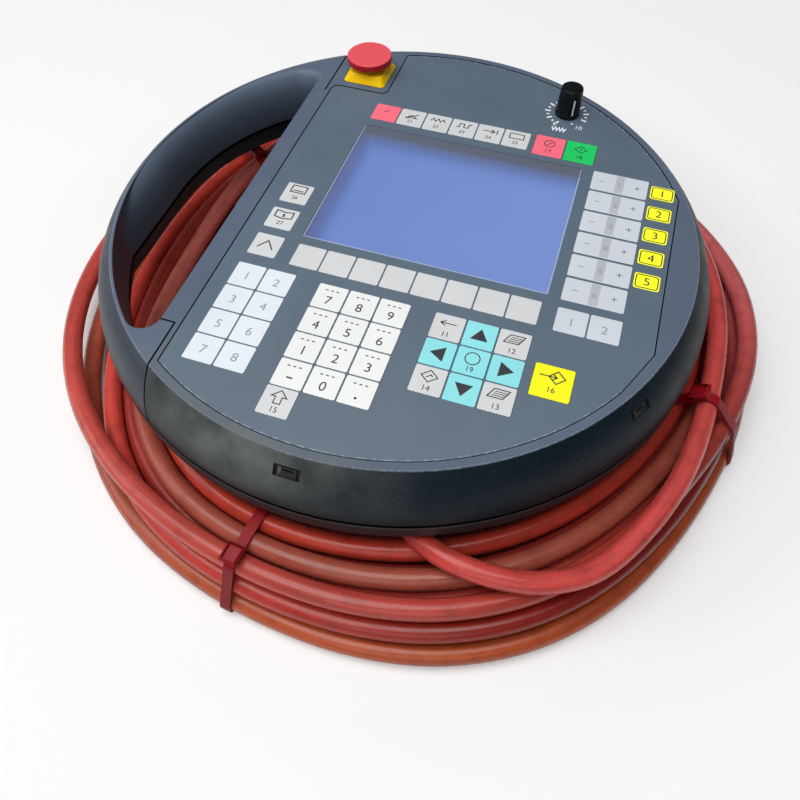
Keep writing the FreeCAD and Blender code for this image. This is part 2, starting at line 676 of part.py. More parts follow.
def key_block(at, columns, rows, step=(1, 1), size=None):
    """Plan rectangles (left, top, width, height) of a block of keys, row by row."""
    w, h = (PITCH * n for n in size) if size else (KEY, KEY)
    return [((at[0] + i * step[0]) * PITCH, (at[1] - j * step[1]) * PITCH, w, h)
            for j in range(rows) for i in range(columns)]


def moving_keys():
    """Name and plan rectangle of every key that travels."""
    blocks = (("7 8 9 4 5 6 1 2 3 minus 0 point", key_block(NUMERIC_AT, 3, 4)),
              ("back up page_up left select right insert down page_down", key_block(CURSOR_AT, 3, 3)),
              ("shift", key_block(SHIFT_AT, 1, 1)),
              ("input", key_block(INPUT_AT, 1, 1, size=(INPUT_SIDE, INPUT_SIDE))),
              ("stop start", key_block(RUN_AT, 2, 1, (RUN_STEP, 1), RUN_SIZE)))
    return {"key_" + name: place for names, places in blocks for name, place in zip(names.split(), places)}


def field(x, y, w, h, z0, z1, spare=0.0):
    """Key field with round corners, from its upper left corner."""
    wire = rounded(x + w / 2, y - h / 2, w + 2 * spare, h + 2 * spare, KEY_CORNER)
    return prism(wire, z0, z1)


KEYS = moving_keys()
KEY_TOP = FOIL_TOP + KEY_RISE
KEY_Z = BOARD_Z + BOARD_T + DOME_H + KEY_TRAVEL + KEY_SIDE


def key_groups():
    """Key fields that share a node, each as a list of plan rectangles."""
    function = key_block(FUNCTION_AT, FUNCTION_COUNT, 1) + key_block(SOFT_AT, SOFT_COUNT, 1)
    function += key_block(MENU_AT, 1, MENU_COUNT, (1, MENU_STEP))
    user = key_block(USER_AT, 2, USER_ROWS)
    axis = key_block(AXIS_AT, 1, AXIS_COUNT, (1, AXIS_STEP), AXIS_SIZE) + key_block(AUX_AT, 2, 1)
    return {"function_keys": function, "user_keys": user, "axis_keys": axis}


def keypad_foil():
    """Overlay foil with windows for the keys that travel, the display and the knob."""
    foil = prism(foil_outline(), FOIL_Z, FOIL_TOP)
    cuts = [field(*place, 0, FAR, KEY_SIDE) for place in KEYS.values()]
    cuts.append(prism(rounded(VIEW_X, VIEW_Y, VIEW_W, VIEW_H, KEY_CORNER), 0, FAR))
    cuts.append(rod(KNOB_X, KNOB_Y, BUSH_R + CLEAR, 0, FAR))
    return foil.cut(cuts)


def keypad_board():
    """Switch layer under the foil."""
    board = prism(grown(foil_outline(), -BOARD_INSET), BOARD_Z, FOIL_Z)
    return board.cut([plate(VIEW_X, VIEW_Y, PANE_W + 2 * CLEAR, PANE_H + 2 * CLEAR, 0, FAR),
                      rod(KNOB_X, KNOB_Y, BUSH_R + CLEAR, 0, FAR)])


def key_domes():
    """Snap domes under the keys."""
    domes = []
    for x, y, w, h in KEYS.values():
        dome = Part.makeCone(DOME_R, DOME_R / 2, DOME_H, V(x + w / 2, y - h / 2, FOIL_Z))
        domes.append(dome)
    return Part.makeCompound(domes)


def display_window():
    """Clear pane, held under the edge of the foil, with its middle raised through the foil's window."""
    pane = plate(VIEW_X, VIEW_Y, PANE_W, PANE_H, PANE_Z, FOIL_Z)
    middle = rounded(VIEW_X, VIEW_Y, VIEW_W - 2 * CLEAR, VIEW_H - 2 * CLEAR, KEY_CORNER)
    return joined([pane, prism(middle, PANE_Z, FOIL_TOP - PANE_DROP)])


def display_module():
    """Display behind the face."""
    return plate(VIEW_X, VIEW_Y, MODULE_W, MODULE_H, PLATE_Z - MODULE_T, PLATE_Z)


def display_bracket():
    """Frame that carries the display on the face wall."""
    edge, lip = 2 * BRACKET_EDGE, 2 * BRACKET_LIP
    frame = plate(VIEW_X, VIEW_Y, MODULE_W + edge, MODULE_H + edge, PLATE_Z - BRACKET_T, PLATE_Z)
    bay = plate(VIEW_X, VIEW_Y, MODULE_W + 2 * CLEAR, MODULE_H + 2 * CLEAR,
                PLATE_Z - MODULE_T - CLEAR, PLATE_Z)
    back = plate(VIEW_X, VIEW_Y, MODULE_W - lip, MODULE_H - lip, 0, PLATE_Z)
    return frame.cut([bay, back])


def main_board():
    """Circuit board in the pot, with its processor and two sockets."""
    board = plate(MAIN_X, 0, MAIN_SIDE, MAIN_SIDE, MAIN_Z, MAIN_Z + MAIN_T)
    top = MAIN_Z + MAIN_T
    chip = plate(MAIN_X, 0, CHIP, CHIP, top, top + CHIP_H)
    edge = MAIN_SIDE / 2 - SOCKET_W
    sockets = [plate(MAIN_X, side * edge, SOCKET_L, SOCKET_W, top, top + SOCKET_H) for side in (-1, 1)]
    return joined([board, chip] + sockets)


# Stop button
def stop_collar():
    """Square collar with a barrel through the face."""
    low = rounded(STOP_X, STOP_Y, COLLAR_SIDE, COLLAR_SIDE, COLLAR_CORNER, FACE_Z)
    high = rounded(STOP_X, STOP_Y, COLLAR_TOP, COLLAR_TOP, COLLAR_CORNER, FACE_Z + COLLAR_H)
    collar = Part.makeLoft([low, high], True, True)
    barrel = rod(STOP_X, STOP_Y, BARREL_R, BARREL_END, FACE_Z)
    return joined([collar, barrel]).cut(rod(STOP_X, STOP_Y, PLUNGER_R + RUNNING, 0, FAR))


HEAD_Z = FACE_Z + COLLAR_H + STOP_TRAVEL + HEAD_REST


def stop_plunger():
    """Shaft of the stop button, with a pin for its head."""
    shaft = rod(STOP_X, STOP_Y, PLUNGER_R, HEAD_Z - PLUNGER_L, HEAD_Z)
    return joined([shaft, rod(STOP_X, STOP_Y, PIN_R, HEAD_Z, HEAD_Z + PIN_L)])


def stop_head():
    """Round head that is pushed, and twisted to let go."""
    r, e = HEAD_R, HEAD_EDGE
    top = HEAD_Z + HEAD_T
    bore = PIN_R + RUNNING
    return turned(loop(V(bore, 0, HEAD_Z), V(r, 0, HEAD_Z), V(r, 0, top - e), V(r - e, 0, top), V(0, 0, top),
                       V(0, 0, HEAD_Z + PIN_L + CLEAR), V(bore, 0, HEAD_Z + PIN_L + CLEAR)), STOP_X, STOP_Y)


BLOCK_Z = BARREL_END - BLOCK_H


def stop_contact_block():
    """Contact block under the barrel, with a well for the spring."""
    block = plate(STOP_X, STOP_Y, BLOCK_SIDE, BLOCK_SIDE, BLOCK_Z, BARREL_END)
    return block.cut(rod(STOP_X, STOP_Y, PLUNGER_R + CLEAR, BLOCK_Z + BLOCK_FLOOR, FAR))


def stop_spring():
    """Coil spring between the contact block and the plunger, its wire built of short straight lengths."""
    low = BLOCK_Z + BLOCK_FLOOR + SPRING_WIRE + RUNNING
    high = HEAD_Z - PLUNGER_L - SPRING_WIRE - RUNNING
    steps = SPRING_TURNS * SPRING_STEPS
    rings = []
    for i in range(steps + 1):
        turn = 360 * i / SPRING_STEPS
        z = low + (high - low) * i / steps
        ring = []
        for side in range(SPRING_SIDES):
            a = 2 * math.pi * side / SPRING_SIDES
            x, y = polar(SPRING_R + SPRING_WIRE * math.cos(a), turn, STOP_X, STOP_Y)
            ring.append(V(x, y, z + SPRING_WIRE * math.sin(a)))
        rings.append(ring)
    corners = [rings[0], rings[-1]]
    for here, there in zip(rings, rings[1:]):
        for side in range(SPRING_SIDES):
            after = (side + 1) % SPRING_SIDES
            corners.append([here[side], there[side], there[after]])
            corners.append([here[side], there[after], here[after]])
    faces = [Part.Face(Part.makePolygon(points + points[:1])) for points in corners]
    return Part.Solid(Part.Shell(faces))


# Override knob
KNOB_Z = FOIL_TOP + KNOB_GAP


def override_knob():
    """Tapered turning knob with a skirt and a cap line."""
    top = KNOB_Z + KNOB_H
    skirt = KNOB_Z + KNOB_SKIRT
    cap = top - KNOB_CAP
    g = KNOB_GROOVE
    bore = SHAFT_R + RUNNING
    hole = POTI_Z + SHAFT_L + CLEAR
    profile = loop(V(bore, 0, KNOB_Z), V(KNOB_R, 0, KNOB_Z), V(KNOB_R, 0, skirt),
                   V(KNOB_R - g, 0, skirt + g), V(KNOB_TOP_R, 0, cap - g), V(KNOB_TOP_R - g, 0, cap),
                   V(KNOB_TOP_R, 0, cap + g), V(KNOB_TOP_R - g, 0, top - g), V(KNOB_TOP_R - 3 * g, 0, top),
                   V(0, 0, top), V(0, 0, hole), V(bore, 0, hole))
    return turned(profile, KNOB_X, KNOB_Y)


POTI_Z = PLATE_Z - POTI_H


def override_shaft():
    """Shaft of the potentiometer, which carries the knob."""
    return rod(KNOB_X, KNOB_Y, SHAFT_R, POTI_Z + WALL, POTI_Z + SHAFT_L)


def override_potentiometer():
    """Potentiometer under the face, its bush through the face wall and the foil."""
    can = rod(KNOB_X, KNOB_Y, POTI_R, POTI_Z, PLATE_Z)
    body = joined([can, rod(KNOB_X, KNOB_Y, BUSH_R, POTI_Z, FOIL_TOP)])
    return body.cut(rod(KNOB_X, KNOB_Y, SHAFT_R + RUNNING, POTI_Z + WALL, FAR))


# Enabling switches
def enabling_button(outside, inwards):
    """Long push button in a side of the pot; inwards is the sign of the way it is pushed along X."""
    ends = sorted((outside - inwards * ENABLE_OUT, outside + inwards * ENABLE_IN))
    body = box(*ends, -BUTTON_Y, BUTTON_Y, ENABLE_Z - ENABLE_H / 2, ENABLE_Z + ENABLE_H / 2)
    face_x = outside - inwards * ENABLE_OUT
    edges = [e for e in body.Edges if abs(e.BoundBox.XMin - face_x) + abs(e.BoundBox.XMax - face_x) < 1e-6]
    return body.makeFillet(ENABLE_ROUND, edges)


def enabling_switch(outside, inwards):
    """Switch body behind an enabling button, standing on the floor of the pot."""
    near = outside + inwards * (ENABLE_IN + ENABLE_TRAVEL + CLEAR)
    ends = sorted((near, near + inwards * SWITCH_T))
    return box(*ends, -SWITCH_L / 2, SWITCH_L / 2, POT_FLOOR, POT_FLOOR + SWITCH_H)


# Cable
def cable_gland():
    """Cable gland in the wall of the pot, with its nut inside."""
    end = GLAND_FACE + GLAND_FLANGE_T
    nose = Part.makeCone(GLAND_FLANGE_R - WALL, GLAND_NOSE_R, GLAND_NOSE_L, gland_axis(end), GLAND_WAY)
    inner = GLAND_FACE - GLAND_BOSS_L - GLAND_NUT_T
    body = joined([along_gland(GLAND_FLANGE_R, GLAND_FACE, GLAND_FLANGE_T), nose,
                   along_gland(GLAND_SHANK_R, inner, GLAND_FACE - inner)])
    nut = along_gland(GLAND_FLANGE_R, inner, GLAND_NUT_T)
    return joined([body, nut])


def coil_section():
    """Half section of the coil, from which it is turned."""
    return loop(V(COIL_IN_R, 0, 0), V(COIL_OUT_R - CABLE_R, 0, 0), V(COIL_OUT_R, 0, CABLE_R),
                V(COIL_OUT_R, 0, COIL_SIDE_H), V(COIL_CREST_R, 0, COIL_H), V(COIL_SHOULDER_R, 0, COIL_H),
                V(COIL_IN_R, 0, COIL_SIDE_H))


def tie_loop(angle, grow_in, grow_out, width):
    """Closed strap round the coil's section at an angle."""
    wire = coil_section()
    face = Part.Face(grown(wire, grow_out)).cut(Part.Face(grown(wire, -grow_in)))
    strap = face.extrude(V(0, width, 0))
    strap.translate(V(0, -width / 2, 0))
    strap.rotate(V(0, 0, 0), UP, angle)
    strap.translate(V(COIL_X, COIL_Y, 0))
    return strap


def cable_coil():
    """Outer shape of the coiled cable, with grooves where the ties pull it in."""
    coil = turned(coil_section(), COIL_X, COIL_Y)
    return coil.cut([tie_loop(a, TIE_T + CLEAR, TIE_T, TIE_W + 2 * CLEAR) for a in TIE_ANGLES])


def cable_ties():
    """Cable ties round the coil, each with its head on the outer slope."""
    ties = []
    x = (COIL_OUT_R + COIL_CREST_R) / 2
    z = (COIL_SIDE_H + COIL_H) / 2
    slope = math.degrees(math.atan2(COIL_OUT_R - COIL_CREST_R, COIL_H - COIL_SIDE_H))
    for angle in TIE_ANGLES:
        strap = tie_loop(angle, TIE_T, 0, TIE_W)
        head = box(-TIE_T, TIE_HEAD_T, -TIE_HEAD / 2, TIE_HEAD / 2, -TIE_HEAD / 2, TIE_HEAD / 2)
        head.rotate(V(0, 0, 0), V(0, 1, 0), -slope)
        head.translate(V(x, 0, z))
        head.rotate(V(0, 0, 0), UP, angle)
        head.translate(V(COIL_X, COIL_Y, 0))
        rest = turned(coil_section(), COIL_X, COIL_Y)
        ties.append(joined([strap, head.cut(rest)]))
    return Part.makeCompound(ties)


def cable_lead():
    """Cable from the gland to the coil."""
    start = GLAND_FACE + GLAND_FLANGE_T + GLAND_NOSE_L
    climb = (GLAND_Z + CABLE_R - COIL_SIDE_H) / (COIL_H - COIL_SIDE_H)
    end = COIL_IN_R + (COIL_SHOULDER_R - COIL_IN_R) * climb + LEAD_SINK
    away = gland_axis(0) - V(COIL_X, COIL_Y, GLAND_Z)
    reach = -away.dot(GLAND_WAY) + math.sqrt(away.dot(GLAND_WAY) ** 2 - away.Length ** 2 + end ** 2)
    return along_gland(CABLE_R, start, reach - start)


PLUG_X, PLUG_Y = polar(COIL_IN_R + PLUG_SINK, PLUG_ANGLE, COIL_X, COIL_Y)
PLUG_Z = RING_R + CLEAR
RING_START = PLUG_BOOT_L + PLUG_BODY_L - RING_BACK


def along_plug(wire):
    """Solid turned from a profile about the plug's axis; the profile's height runs along the plug."""
    solid = turned(wire)
    solid.rotate(V(0, 0, 0), V(0, 1, 0), 90)
    solid.rotate(V(0, 0, 0), UP, PLUG_TURN)
    solid.translate(V(PLUG_X, PLUG_Y, PLUG_Z))
    return solid


def cable_plug():
    """Round plug with a tapered boot."""
    a = PLUG_BOOT_L
    b = a + PLUG_BODY_L
    c = b + PLUG_NOSE_L
    neck = PLUG_NOSE_R
    bevel = PLUG_BEVEL
    return along_plug(loop(V(0, 0, 0), V(PLUG_BOOT_R, 0, 0), V(PLUG_BODY_R - bevel, 0, a),
                           V(PLUG_BODY_R, 0, a + bevel), V(PLUG_BODY_R, 0, RING_START - CLEAR),
                           V(neck, 0, RING_START - CLEAR), V(neck, 0, c), V(0, 0, c)))


def plug_coupling_ring():
    """Ring that locks the plug, loose round its nose."""
    a, b = RING_START, RING_START + RING_L
    bore = PLUG_NOSE_R + RUNNING
    bevel = PLUG_BEVEL
    return along_plug(loop(V(bore, 0, a), V(RING_R - bevel, 0, a), V(RING_R, 0, a + bevel),
                           V(RING_R, 0, b - bevel), V(RING_R - bevel, 0, b), V(bore, 0, b)))


def all_parts():
    """Every node and its shape."""
    left = POT_FLAT_X
    parts = {
        "front_shell": front_shell(), "grip_handle": grip_handle(), "grip_base": grip_base(),
        "rear_shell": rear_shell(),
        "cable_cover": cable_cover(), "housing_seal": housing_seal(), "housing_screws": housing_screws(),
        "keypad_foil": keypad_foil(), "keypad_board": keypad_board(), "key_domes": key_domes(),
        "display_window": display_window(), "display_module": display_module(),
        "display_bracket": display_bracket(), "main_board": main_board(),
        "stop_collar": stop_collar(), "stop_plunger": stop_plunger(), "stop_head": stop_head(),
        "stop_spring": stop_spring(), "stop_contact_block": stop_contact_block(),
        "override_knob": override_knob(), "override_shaft": override_shaft(),
        "override_potentiometer": override_potentiometer(),
        "enabling_button_left": enabling_button(left, 1),
        "enabling_switch_left": enabling_switch(left, 1),
        "enabling_button_right": enabling_button(PAD_X, -1),
        "enabling_switch_right": enabling_switch(PAD_X, -1),
        "cable_gland": cable_gland(), "cable_lead": cable_lead(), "cable_coil": cable_coil(),
        "cable_ties": cable_ties(), "cable_plug": cable_plug(), "plug_coupling_ring": plug_coupling_ring(),
    }
    for name, place in KEYS.items():
        parts[name] = field(*place, KEY_Z, KEY_TOP)
    for name, places in key_groups().items():
        parts[name] = Part.makeCompound([field(*place, FOIL_TOP, KEY_TOP) for place in places])
    return parts


os.makedirs("parts", exist_ok=True)
for node, shape in all_parts().items():
    shape.exportStep("parts/" + node + ".step")
    state = "ok" if shape.isValid() else "INVALID"
    print(node, len(shape.Solids), "solid(s)", round(shape.Volume), "mm3", state)
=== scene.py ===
# %% [markdown]
# # A handheld operator terminal on its coiled cable
# The terminal is a round plastic housing with a hand opening on its left, a keypad foil with a display, a
# stop button and a turning knob. It lies on a coil of its own red cable. The CAD frame already holds
# every piece at its real size, so this lesson only adds the looks: finishes, printed marks, the cable's
# turns and the ties.

import json
import math

import bmesh
import bpy
from mathutils import Matrix, Vector

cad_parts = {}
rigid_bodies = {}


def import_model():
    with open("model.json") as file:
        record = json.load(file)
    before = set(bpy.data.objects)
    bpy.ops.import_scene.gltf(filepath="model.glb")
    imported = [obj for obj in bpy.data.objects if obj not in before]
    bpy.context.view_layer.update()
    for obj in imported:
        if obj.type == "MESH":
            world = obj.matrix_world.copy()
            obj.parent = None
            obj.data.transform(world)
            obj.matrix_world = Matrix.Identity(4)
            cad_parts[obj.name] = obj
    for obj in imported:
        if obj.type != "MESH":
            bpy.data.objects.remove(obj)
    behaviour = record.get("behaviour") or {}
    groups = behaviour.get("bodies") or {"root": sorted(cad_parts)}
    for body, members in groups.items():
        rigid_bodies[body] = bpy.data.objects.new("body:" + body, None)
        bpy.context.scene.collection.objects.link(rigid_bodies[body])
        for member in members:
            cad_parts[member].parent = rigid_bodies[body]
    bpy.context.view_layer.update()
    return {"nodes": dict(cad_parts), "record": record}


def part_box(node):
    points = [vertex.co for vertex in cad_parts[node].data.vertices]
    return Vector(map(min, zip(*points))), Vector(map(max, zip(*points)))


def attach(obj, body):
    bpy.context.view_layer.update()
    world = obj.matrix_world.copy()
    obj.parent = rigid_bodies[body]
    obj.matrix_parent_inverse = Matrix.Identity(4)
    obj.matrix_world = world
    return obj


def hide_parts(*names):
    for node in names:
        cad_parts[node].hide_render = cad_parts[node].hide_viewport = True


for leftover in list(bpy.data.objects):
    bpy.data.objects.remove(leftover)
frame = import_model()
MM = 0.001

# %% [markdown]
# ## Small helpers
# Blender keeps the data of a thing, such as its mesh or its curve, apart from the object that gives it a
# place in the scene. Each new piece needs both, so one helper makes the object and links it. Much of this
# terminal is round, and points on a circle are easiest to give by distance and angle, which two more
# helpers turn into x and y.

# %% Helpers for objects and angles
def add_object(name, data):
    made = bpy.data.objects.new(name, data)
    bpy.context.scene.collection.objects.link(made)
    return made


def polar(radius, degrees):
    """A point by its distance and its angle, as x and y."""
    angle = math.radians(degrees)
    return radius * math.cos(angle), radius * math.sin(angle)


def directions(degrees):
    """The level direction at an angle, and the one square to it."""
    x, y = polar(1, degrees)
    return Vector((x, y, 0)), Vector((-y, x, 0))


print("a quarter turn from the right points to", [round(c) for c in directions(90)[0]])

# %% [markdown]
# ## Camera
# The view was fitted to the round edge of the face and to the key grid, so the camera is given as its
# place and its three directions. A tracking constraint could aim it too, but written this way nothing
# moves when the pieces change.

# %% Camera
CAMERA_AT = Vector((0.074097, -0.237917, 0.300648))
CAMERA_RIGHT = Vector((0.951171, 0.308642, 0.003822))
CAMERA_UP = Vector((-0.260655, 0.796531, 0.545525))
CAMERA_BACK = Vector((0.165328, -0.519883, 0.838086))
lens = bpy.data.cameras.new("studio_camera")
lens.sensor_width = 36.0
lens.lens = 31.434
camera = add_object("studio_camera", lens)
turn = Matrix((CAMERA_RIGHT, CAMERA_UP, CAMERA_BACK)).transposed()
camera.matrix_world = Matrix.Translation(CAMERA_AT) @ turn.to_4x4()
bpy.context.scene.camera = camera
bpy.context.scene.view_settings.view_transform = "Standard"
print("camera at", [round(c, 3) for c in CAMERA_AT])

# %% [markdown]
# ## The cable's route
# About ten metres of cable leave the gland under the housing, hump over the heap and then lie in ten
# turns. Each turn has a place in the heap, a radius and a height. Between the ties the turns are loose:
# at the left they fan out to both sides of the grip, at the right they bulge outwards. At the hidden back
# each turn moves over to the next place. A simulation could drop a cord into a heap, but a loop over a
# short list of places puts each turn where it is wanted.

# %% Places of the turns
CABLE_R = 4.75           # millimetres, as are all sizes of the route
LEAD = [
    (31.8, -100.9, 24.0), (33.4, -110.0, 24.3), (36.7, -119.7, 26.6), (42.6, -128.3, 30.4),
    (50.8, -134.7, 33.9), (61.0, -138.6, 35.3), (73.0, -140.3, 35.2), (87.0, -139.5, 34.4),
    (102.6, -135.9, 33.0), (121.9, -123.8, 31.8), (138.5, -97.2, 33.2), (150.0, -66.5, 35.2),
    (155.6, -26.5, 35.8),
]
# radius, height, (shift, rise) at the left, the front and the right, angle of the move on, its bulge
PLACES = [
    (158.5, 34.4, (0, 0), (0, 0), (-1.5, 1.8), 130, 4.0),
    (164.0, 24.0, (11, -11), (6, -1.5), (12, 3.0), 117, 0),
    (154.3, 24.0, (-32.8, -5.5), (3, 0), (7, 2.0), 112, 0),
    (144.4, 24.0, (-32.8, -11.5), (0, 0), (5, 0.5), 108, -4.5),
    (136.3, 14.4, (-40.9, -9.5), (0, 0), (2, 0), 93, 0),
    (149.2, 14.4, (-44.2, -9.5), (3, 0), (3, 0), 90, 0),
    (158.9, 14.4, (-27.4, 2.2), (4.5, 0), (3, 0.5), 85, 0),
    (168.7, 14.4, (-26.6, 0.2), (8, -0.5), (5, 2.0), 81, 7.0),
    (173.2, 4.9, (-9.5, 0), (10.5, 0), (6, 0), 67, 0),
    (163.5, 4.9, (-11.5, 0), (2, 0), (-3, 0), 62, 0),
    (153.8, 4.9, (-32.3, 0), (-9, 0), (-3, 0), 0, 0),
]
FANS = ((183, 75), (-58, 45), (12, 45))   # middle and half width of the loose stretches, in degrees


def looseness(angle, middle, half):
    away = (angle - middle + 180) % 360 - 180
    return math.cos(math.radians(90 * away / half)) ** 2 if abs(away) < half else 0.0


def place_at(turn, angle):
    """Radius and height of a place in the heap, where the turns fan out between the ties."""
    spot = Vector(PLACES[turn][:2])
    for (middle, half), (shift, rise) in zip(FANS, PLACES[turn][2:5]):
        share = looseness(angle, middle, half)
        spot += Vector((shift * share, rise * share * share))
    return spot


print("places in the heap:", len(PLACES))

# %% Way of a turn to the next place
MOVE_WIDTH = 26          # degrees that a move to the next place takes
PLUG_R, PLUG_AT, PLUG_Z = 116.0, 65.5, 9.8
RISE_FROM = 0.74         # share of the way to the plug after which the cable lifts off the floor
LAST = len(PLACES) - 1


def ease(x):
    x = min(1.0, max(0.0, x))
    return x * x * (3 - 2 * x)


def turn_point(angle):
    """Radius and height of the cable at an angle that counts on from turn to turn."""
    moved = sum(ease((angle - 360 * k - PLACES[k][5]) / MOVE_WIDTH + 0.5) for k in range(LAST))
    turn = min(int(moved), LAST)
    share = moved - turn
    here, there = place_at(turn, angle), place_at(min(turn + 1, LAST), angle)
    spot = here.lerp(there, share)
    spot.x += PLACES[turn][6] * 4 * share * (1 - share)
    way = (angle - 360 * LAST) / PLUG_AT
    if way > 0:
        spot.x = here.x - (place_at(LAST, PLUG_AT).x - PLUG_R) * way * way
        spot.y += (PLUG_Z - spot.y) * ease((way - RISE_FROM) / (1 - RISE_FROM))
    return spot


print("the first turn starts at radius", round(turn_point(0).x, 1))

# %% Route of the cable
FIRST_AT = 5             # degrees of the first point after the lead
STEP = 12                # degrees between two points of the spline
END_AT = 360 * LAST + PLUG_AT
route = [Vector(point) for point in LEAD]
angle = FIRST_AT
while angle < END_AT - STEP / 2:
    spot = turn_point(angle)
    route.append(Vector((*polar(spot.x, angle), spot.y)))
    angle += STEP
route.append(Vector((*polar(PLUG_R, PLUG_AT), PLUG_Z)))
print("points on the cable's route:", len(route))

# %% Cable as one spline
def lay_spline(curve, scale):
    """One smooth spline of a curve along the route."""
    curve.dimensions = "3D"
    curve.resolution_u = 6
    spline = curve.splines.new("NURBS")
    spline.points.add(len(route) - 1)
    for point, spot in zip(spline.points, route):
        point.co = (*(spot * scale), 1.0)
    spline.order_u = 3
    spline.use_endpoint_u = True
    return spline


line = bpy.data.curves.new("cable", "CURVE")
line.bevel_depth = 1.0
line.bevel_resolution = 4
line.use_fill_caps = True
spline = lay_spline(line, MM)
spline.use_smooth = True
for point in spline.points:
    point.radius = CABLE_R * MM
cable = add_object("cable", line)
CABLE_LENGTH = spline.calc_length()
print("cable length in metres:", round(CABLE_LENGTH, 3))

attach(cable, "housing")
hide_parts("cable_lead", "cable_coil")
print("one strand stands for the lead and the coil")

# %% [markdown]
# ## Finishes
# Every surface gets a small node tree. Clouds of noise in the object's own metres vary the colour and the
# roughness a little, and a finer noise gives the grain of the mould. A finish made this way needs no
# picture file and no UV map, and it keeps its scale on every piece.

# %% Colours
def screen(red, green, blue):
    """A colour as seen on a screen, 0 to 255, as the linear colour of a shader."""
    def straight(c):
        c = c / 255
        return c / 12.92 if c <= 0.04045 else ((c + 0.055) / 1.055) ** 2.4
    return (straight(red), straight(green), straight(blue), 1.0)


def tinted(colour, factor):
    return tuple(min(1.0, c * factor) for c in colour[:3]) + (1.0,)


print("half bright on a screen is", round(screen(128, 128, 128)[0], 3), "in linear light")

# %% Nodes of a finish
class Finish:
    """A material and the few nodes that the finishes here are made of."""

    def __init__(self, name):
        self.material = bpy.data.materials.new(name)
        self.material.use_nodes = True
        self.tree = self.material.node_tree
        self.shader = self.tree.nodes["Principled BSDF"]
        self.place = self.tree.nodes.new("ShaderNodeTexCoord").outputs["Object"]

    def feed(self, socket, value):
        """Link another node's output to a socket, or set the socket's own constant."""
        if isinstance(value, bpy.types.NodeSocket):
            self.tree.links.new(value, socket)
        else:
            socket.default_value = value

    def node(self, kind, inputs=(), **settings):
        made = self.tree.nodes.new(kind)
        for key, value in settings.items():
            setattr(made, key, value)
        for key, value in dict(inputs).items():
            self.feed(made.inputs[key], value)
        return made

    def set(self, name, value):
        self.feed(self.shader.inputs[name], value)

    def axis(self, name):
        return self.node("ShaderNodeSeparateXYZ", {"Vector": self.place}).outputs[name]

    def cloud(self, scale, detail=3.0, vector=None):
        inputs = {"Scale": scale, "Detail": detail, "Vector": vector or self.place}
        return self.node("ShaderNodeTexNoise", inputs).outputs["Fac"]

    def spread(self, value, low, high, start=0.3, stop=0.7):
        inputs = {"Value": value, "From Min": start, "From Max": stop, "To Min": low, "To Max": high}
        return self.node("ShaderNodeMapRange", inputs).outputs["Result"]

    def blend(self, share, first, second):
        return self.node("ShaderNodeMix", {0: share, 6: first, 7: second}, data_type="RGBA").outputs[2]

    def reckon(self, operation, first, second):
        return self.node("ShaderNodeMath", {0: first, 1: second}, operation=operation).outputs[0]

    def times(self, first, second):
        return self.reckon("MULTIPLY", first, second)

    def vector(self, operation, *parts):
        return self.node("ShaderNodeVectorMath", enumerate(parts), operation=operation).outputs

    def flat(self):
        """The place with its height left out."""
        return self.node("ShaderNodeCombineXYZ", {"X": self.axis("X"), "Y": self.axis("Y")}).outputs[0]

    def distance(self):
        """Distance from the upright axis through the middle."""
        return self.vector("LENGTH", self.flat())["Value"]

    def lay_over(self, share, colour):
        """Cover the colour so far with another one, by a share."""
        base = self.shader.inputs["Base Color"].links[0].from_socket
        self.set("Base Color", self.blend(share, base, colour))

    def relief(self, height, depth):
        inputs = {"Height": height, "Strength": 0.6, "Distance": depth * MM}
        self.set("Normal", self.node("ShaderNodeBump", inputs).outputs["Normal"])


print("a finish can", [name for name in vars(Finish) if not name.startswith("_")])

# %% Moulded plastic
MOTTLE, GLOSS = 30, 55   # patches of colour and of gloss to the metre, about


def moulded(name, colour, rough, mottle=0.06, grain=1800, depth=0.02, shine=0.5):
    """Moulded plastic: a slightly uneven colour, a slightly uneven gloss and a fine grain."""
    finish = Finish(name)
    patches = finish.spread(finish.cloud(MOTTLE), 0, 1)
    finish.set("Base Color", finish.blend(patches, tinted(colour, 1 - mottle), tinted(colour, 1 + mottle)))
    finish.set("Roughness", finish.spread(finish.cloud(GLOSS), *rough))
    finish.set("Specular IOR Level", shine)
    finish.relief(finish.cloud(grain, 1.0), depth)
    return finish


SEAL = moulded("seal_rubber", screen(16, 16, 17), (0.6, 0.75)).material
print("made", SEAL.name)

# %% [markdown]
# ### Housing plastic
# The housing is charcoal plastic with a satin grain. Its upright sides are nearly black, while the faces
# that lie open to the light are slate: partly faded, partly painted light, with painted shade on the
# sides, so the finish looks at how far the surface is turned up.
# Years of handling have rubbed the rim round the foil pale. The upper edge carries a thin pale line too,
# partly wear and partly a painted highlight where the edge catches the light. Both are found by the
# distance from the middle. Painted masks could hold the same, but here it follows the sizes of the
# frame by itself.

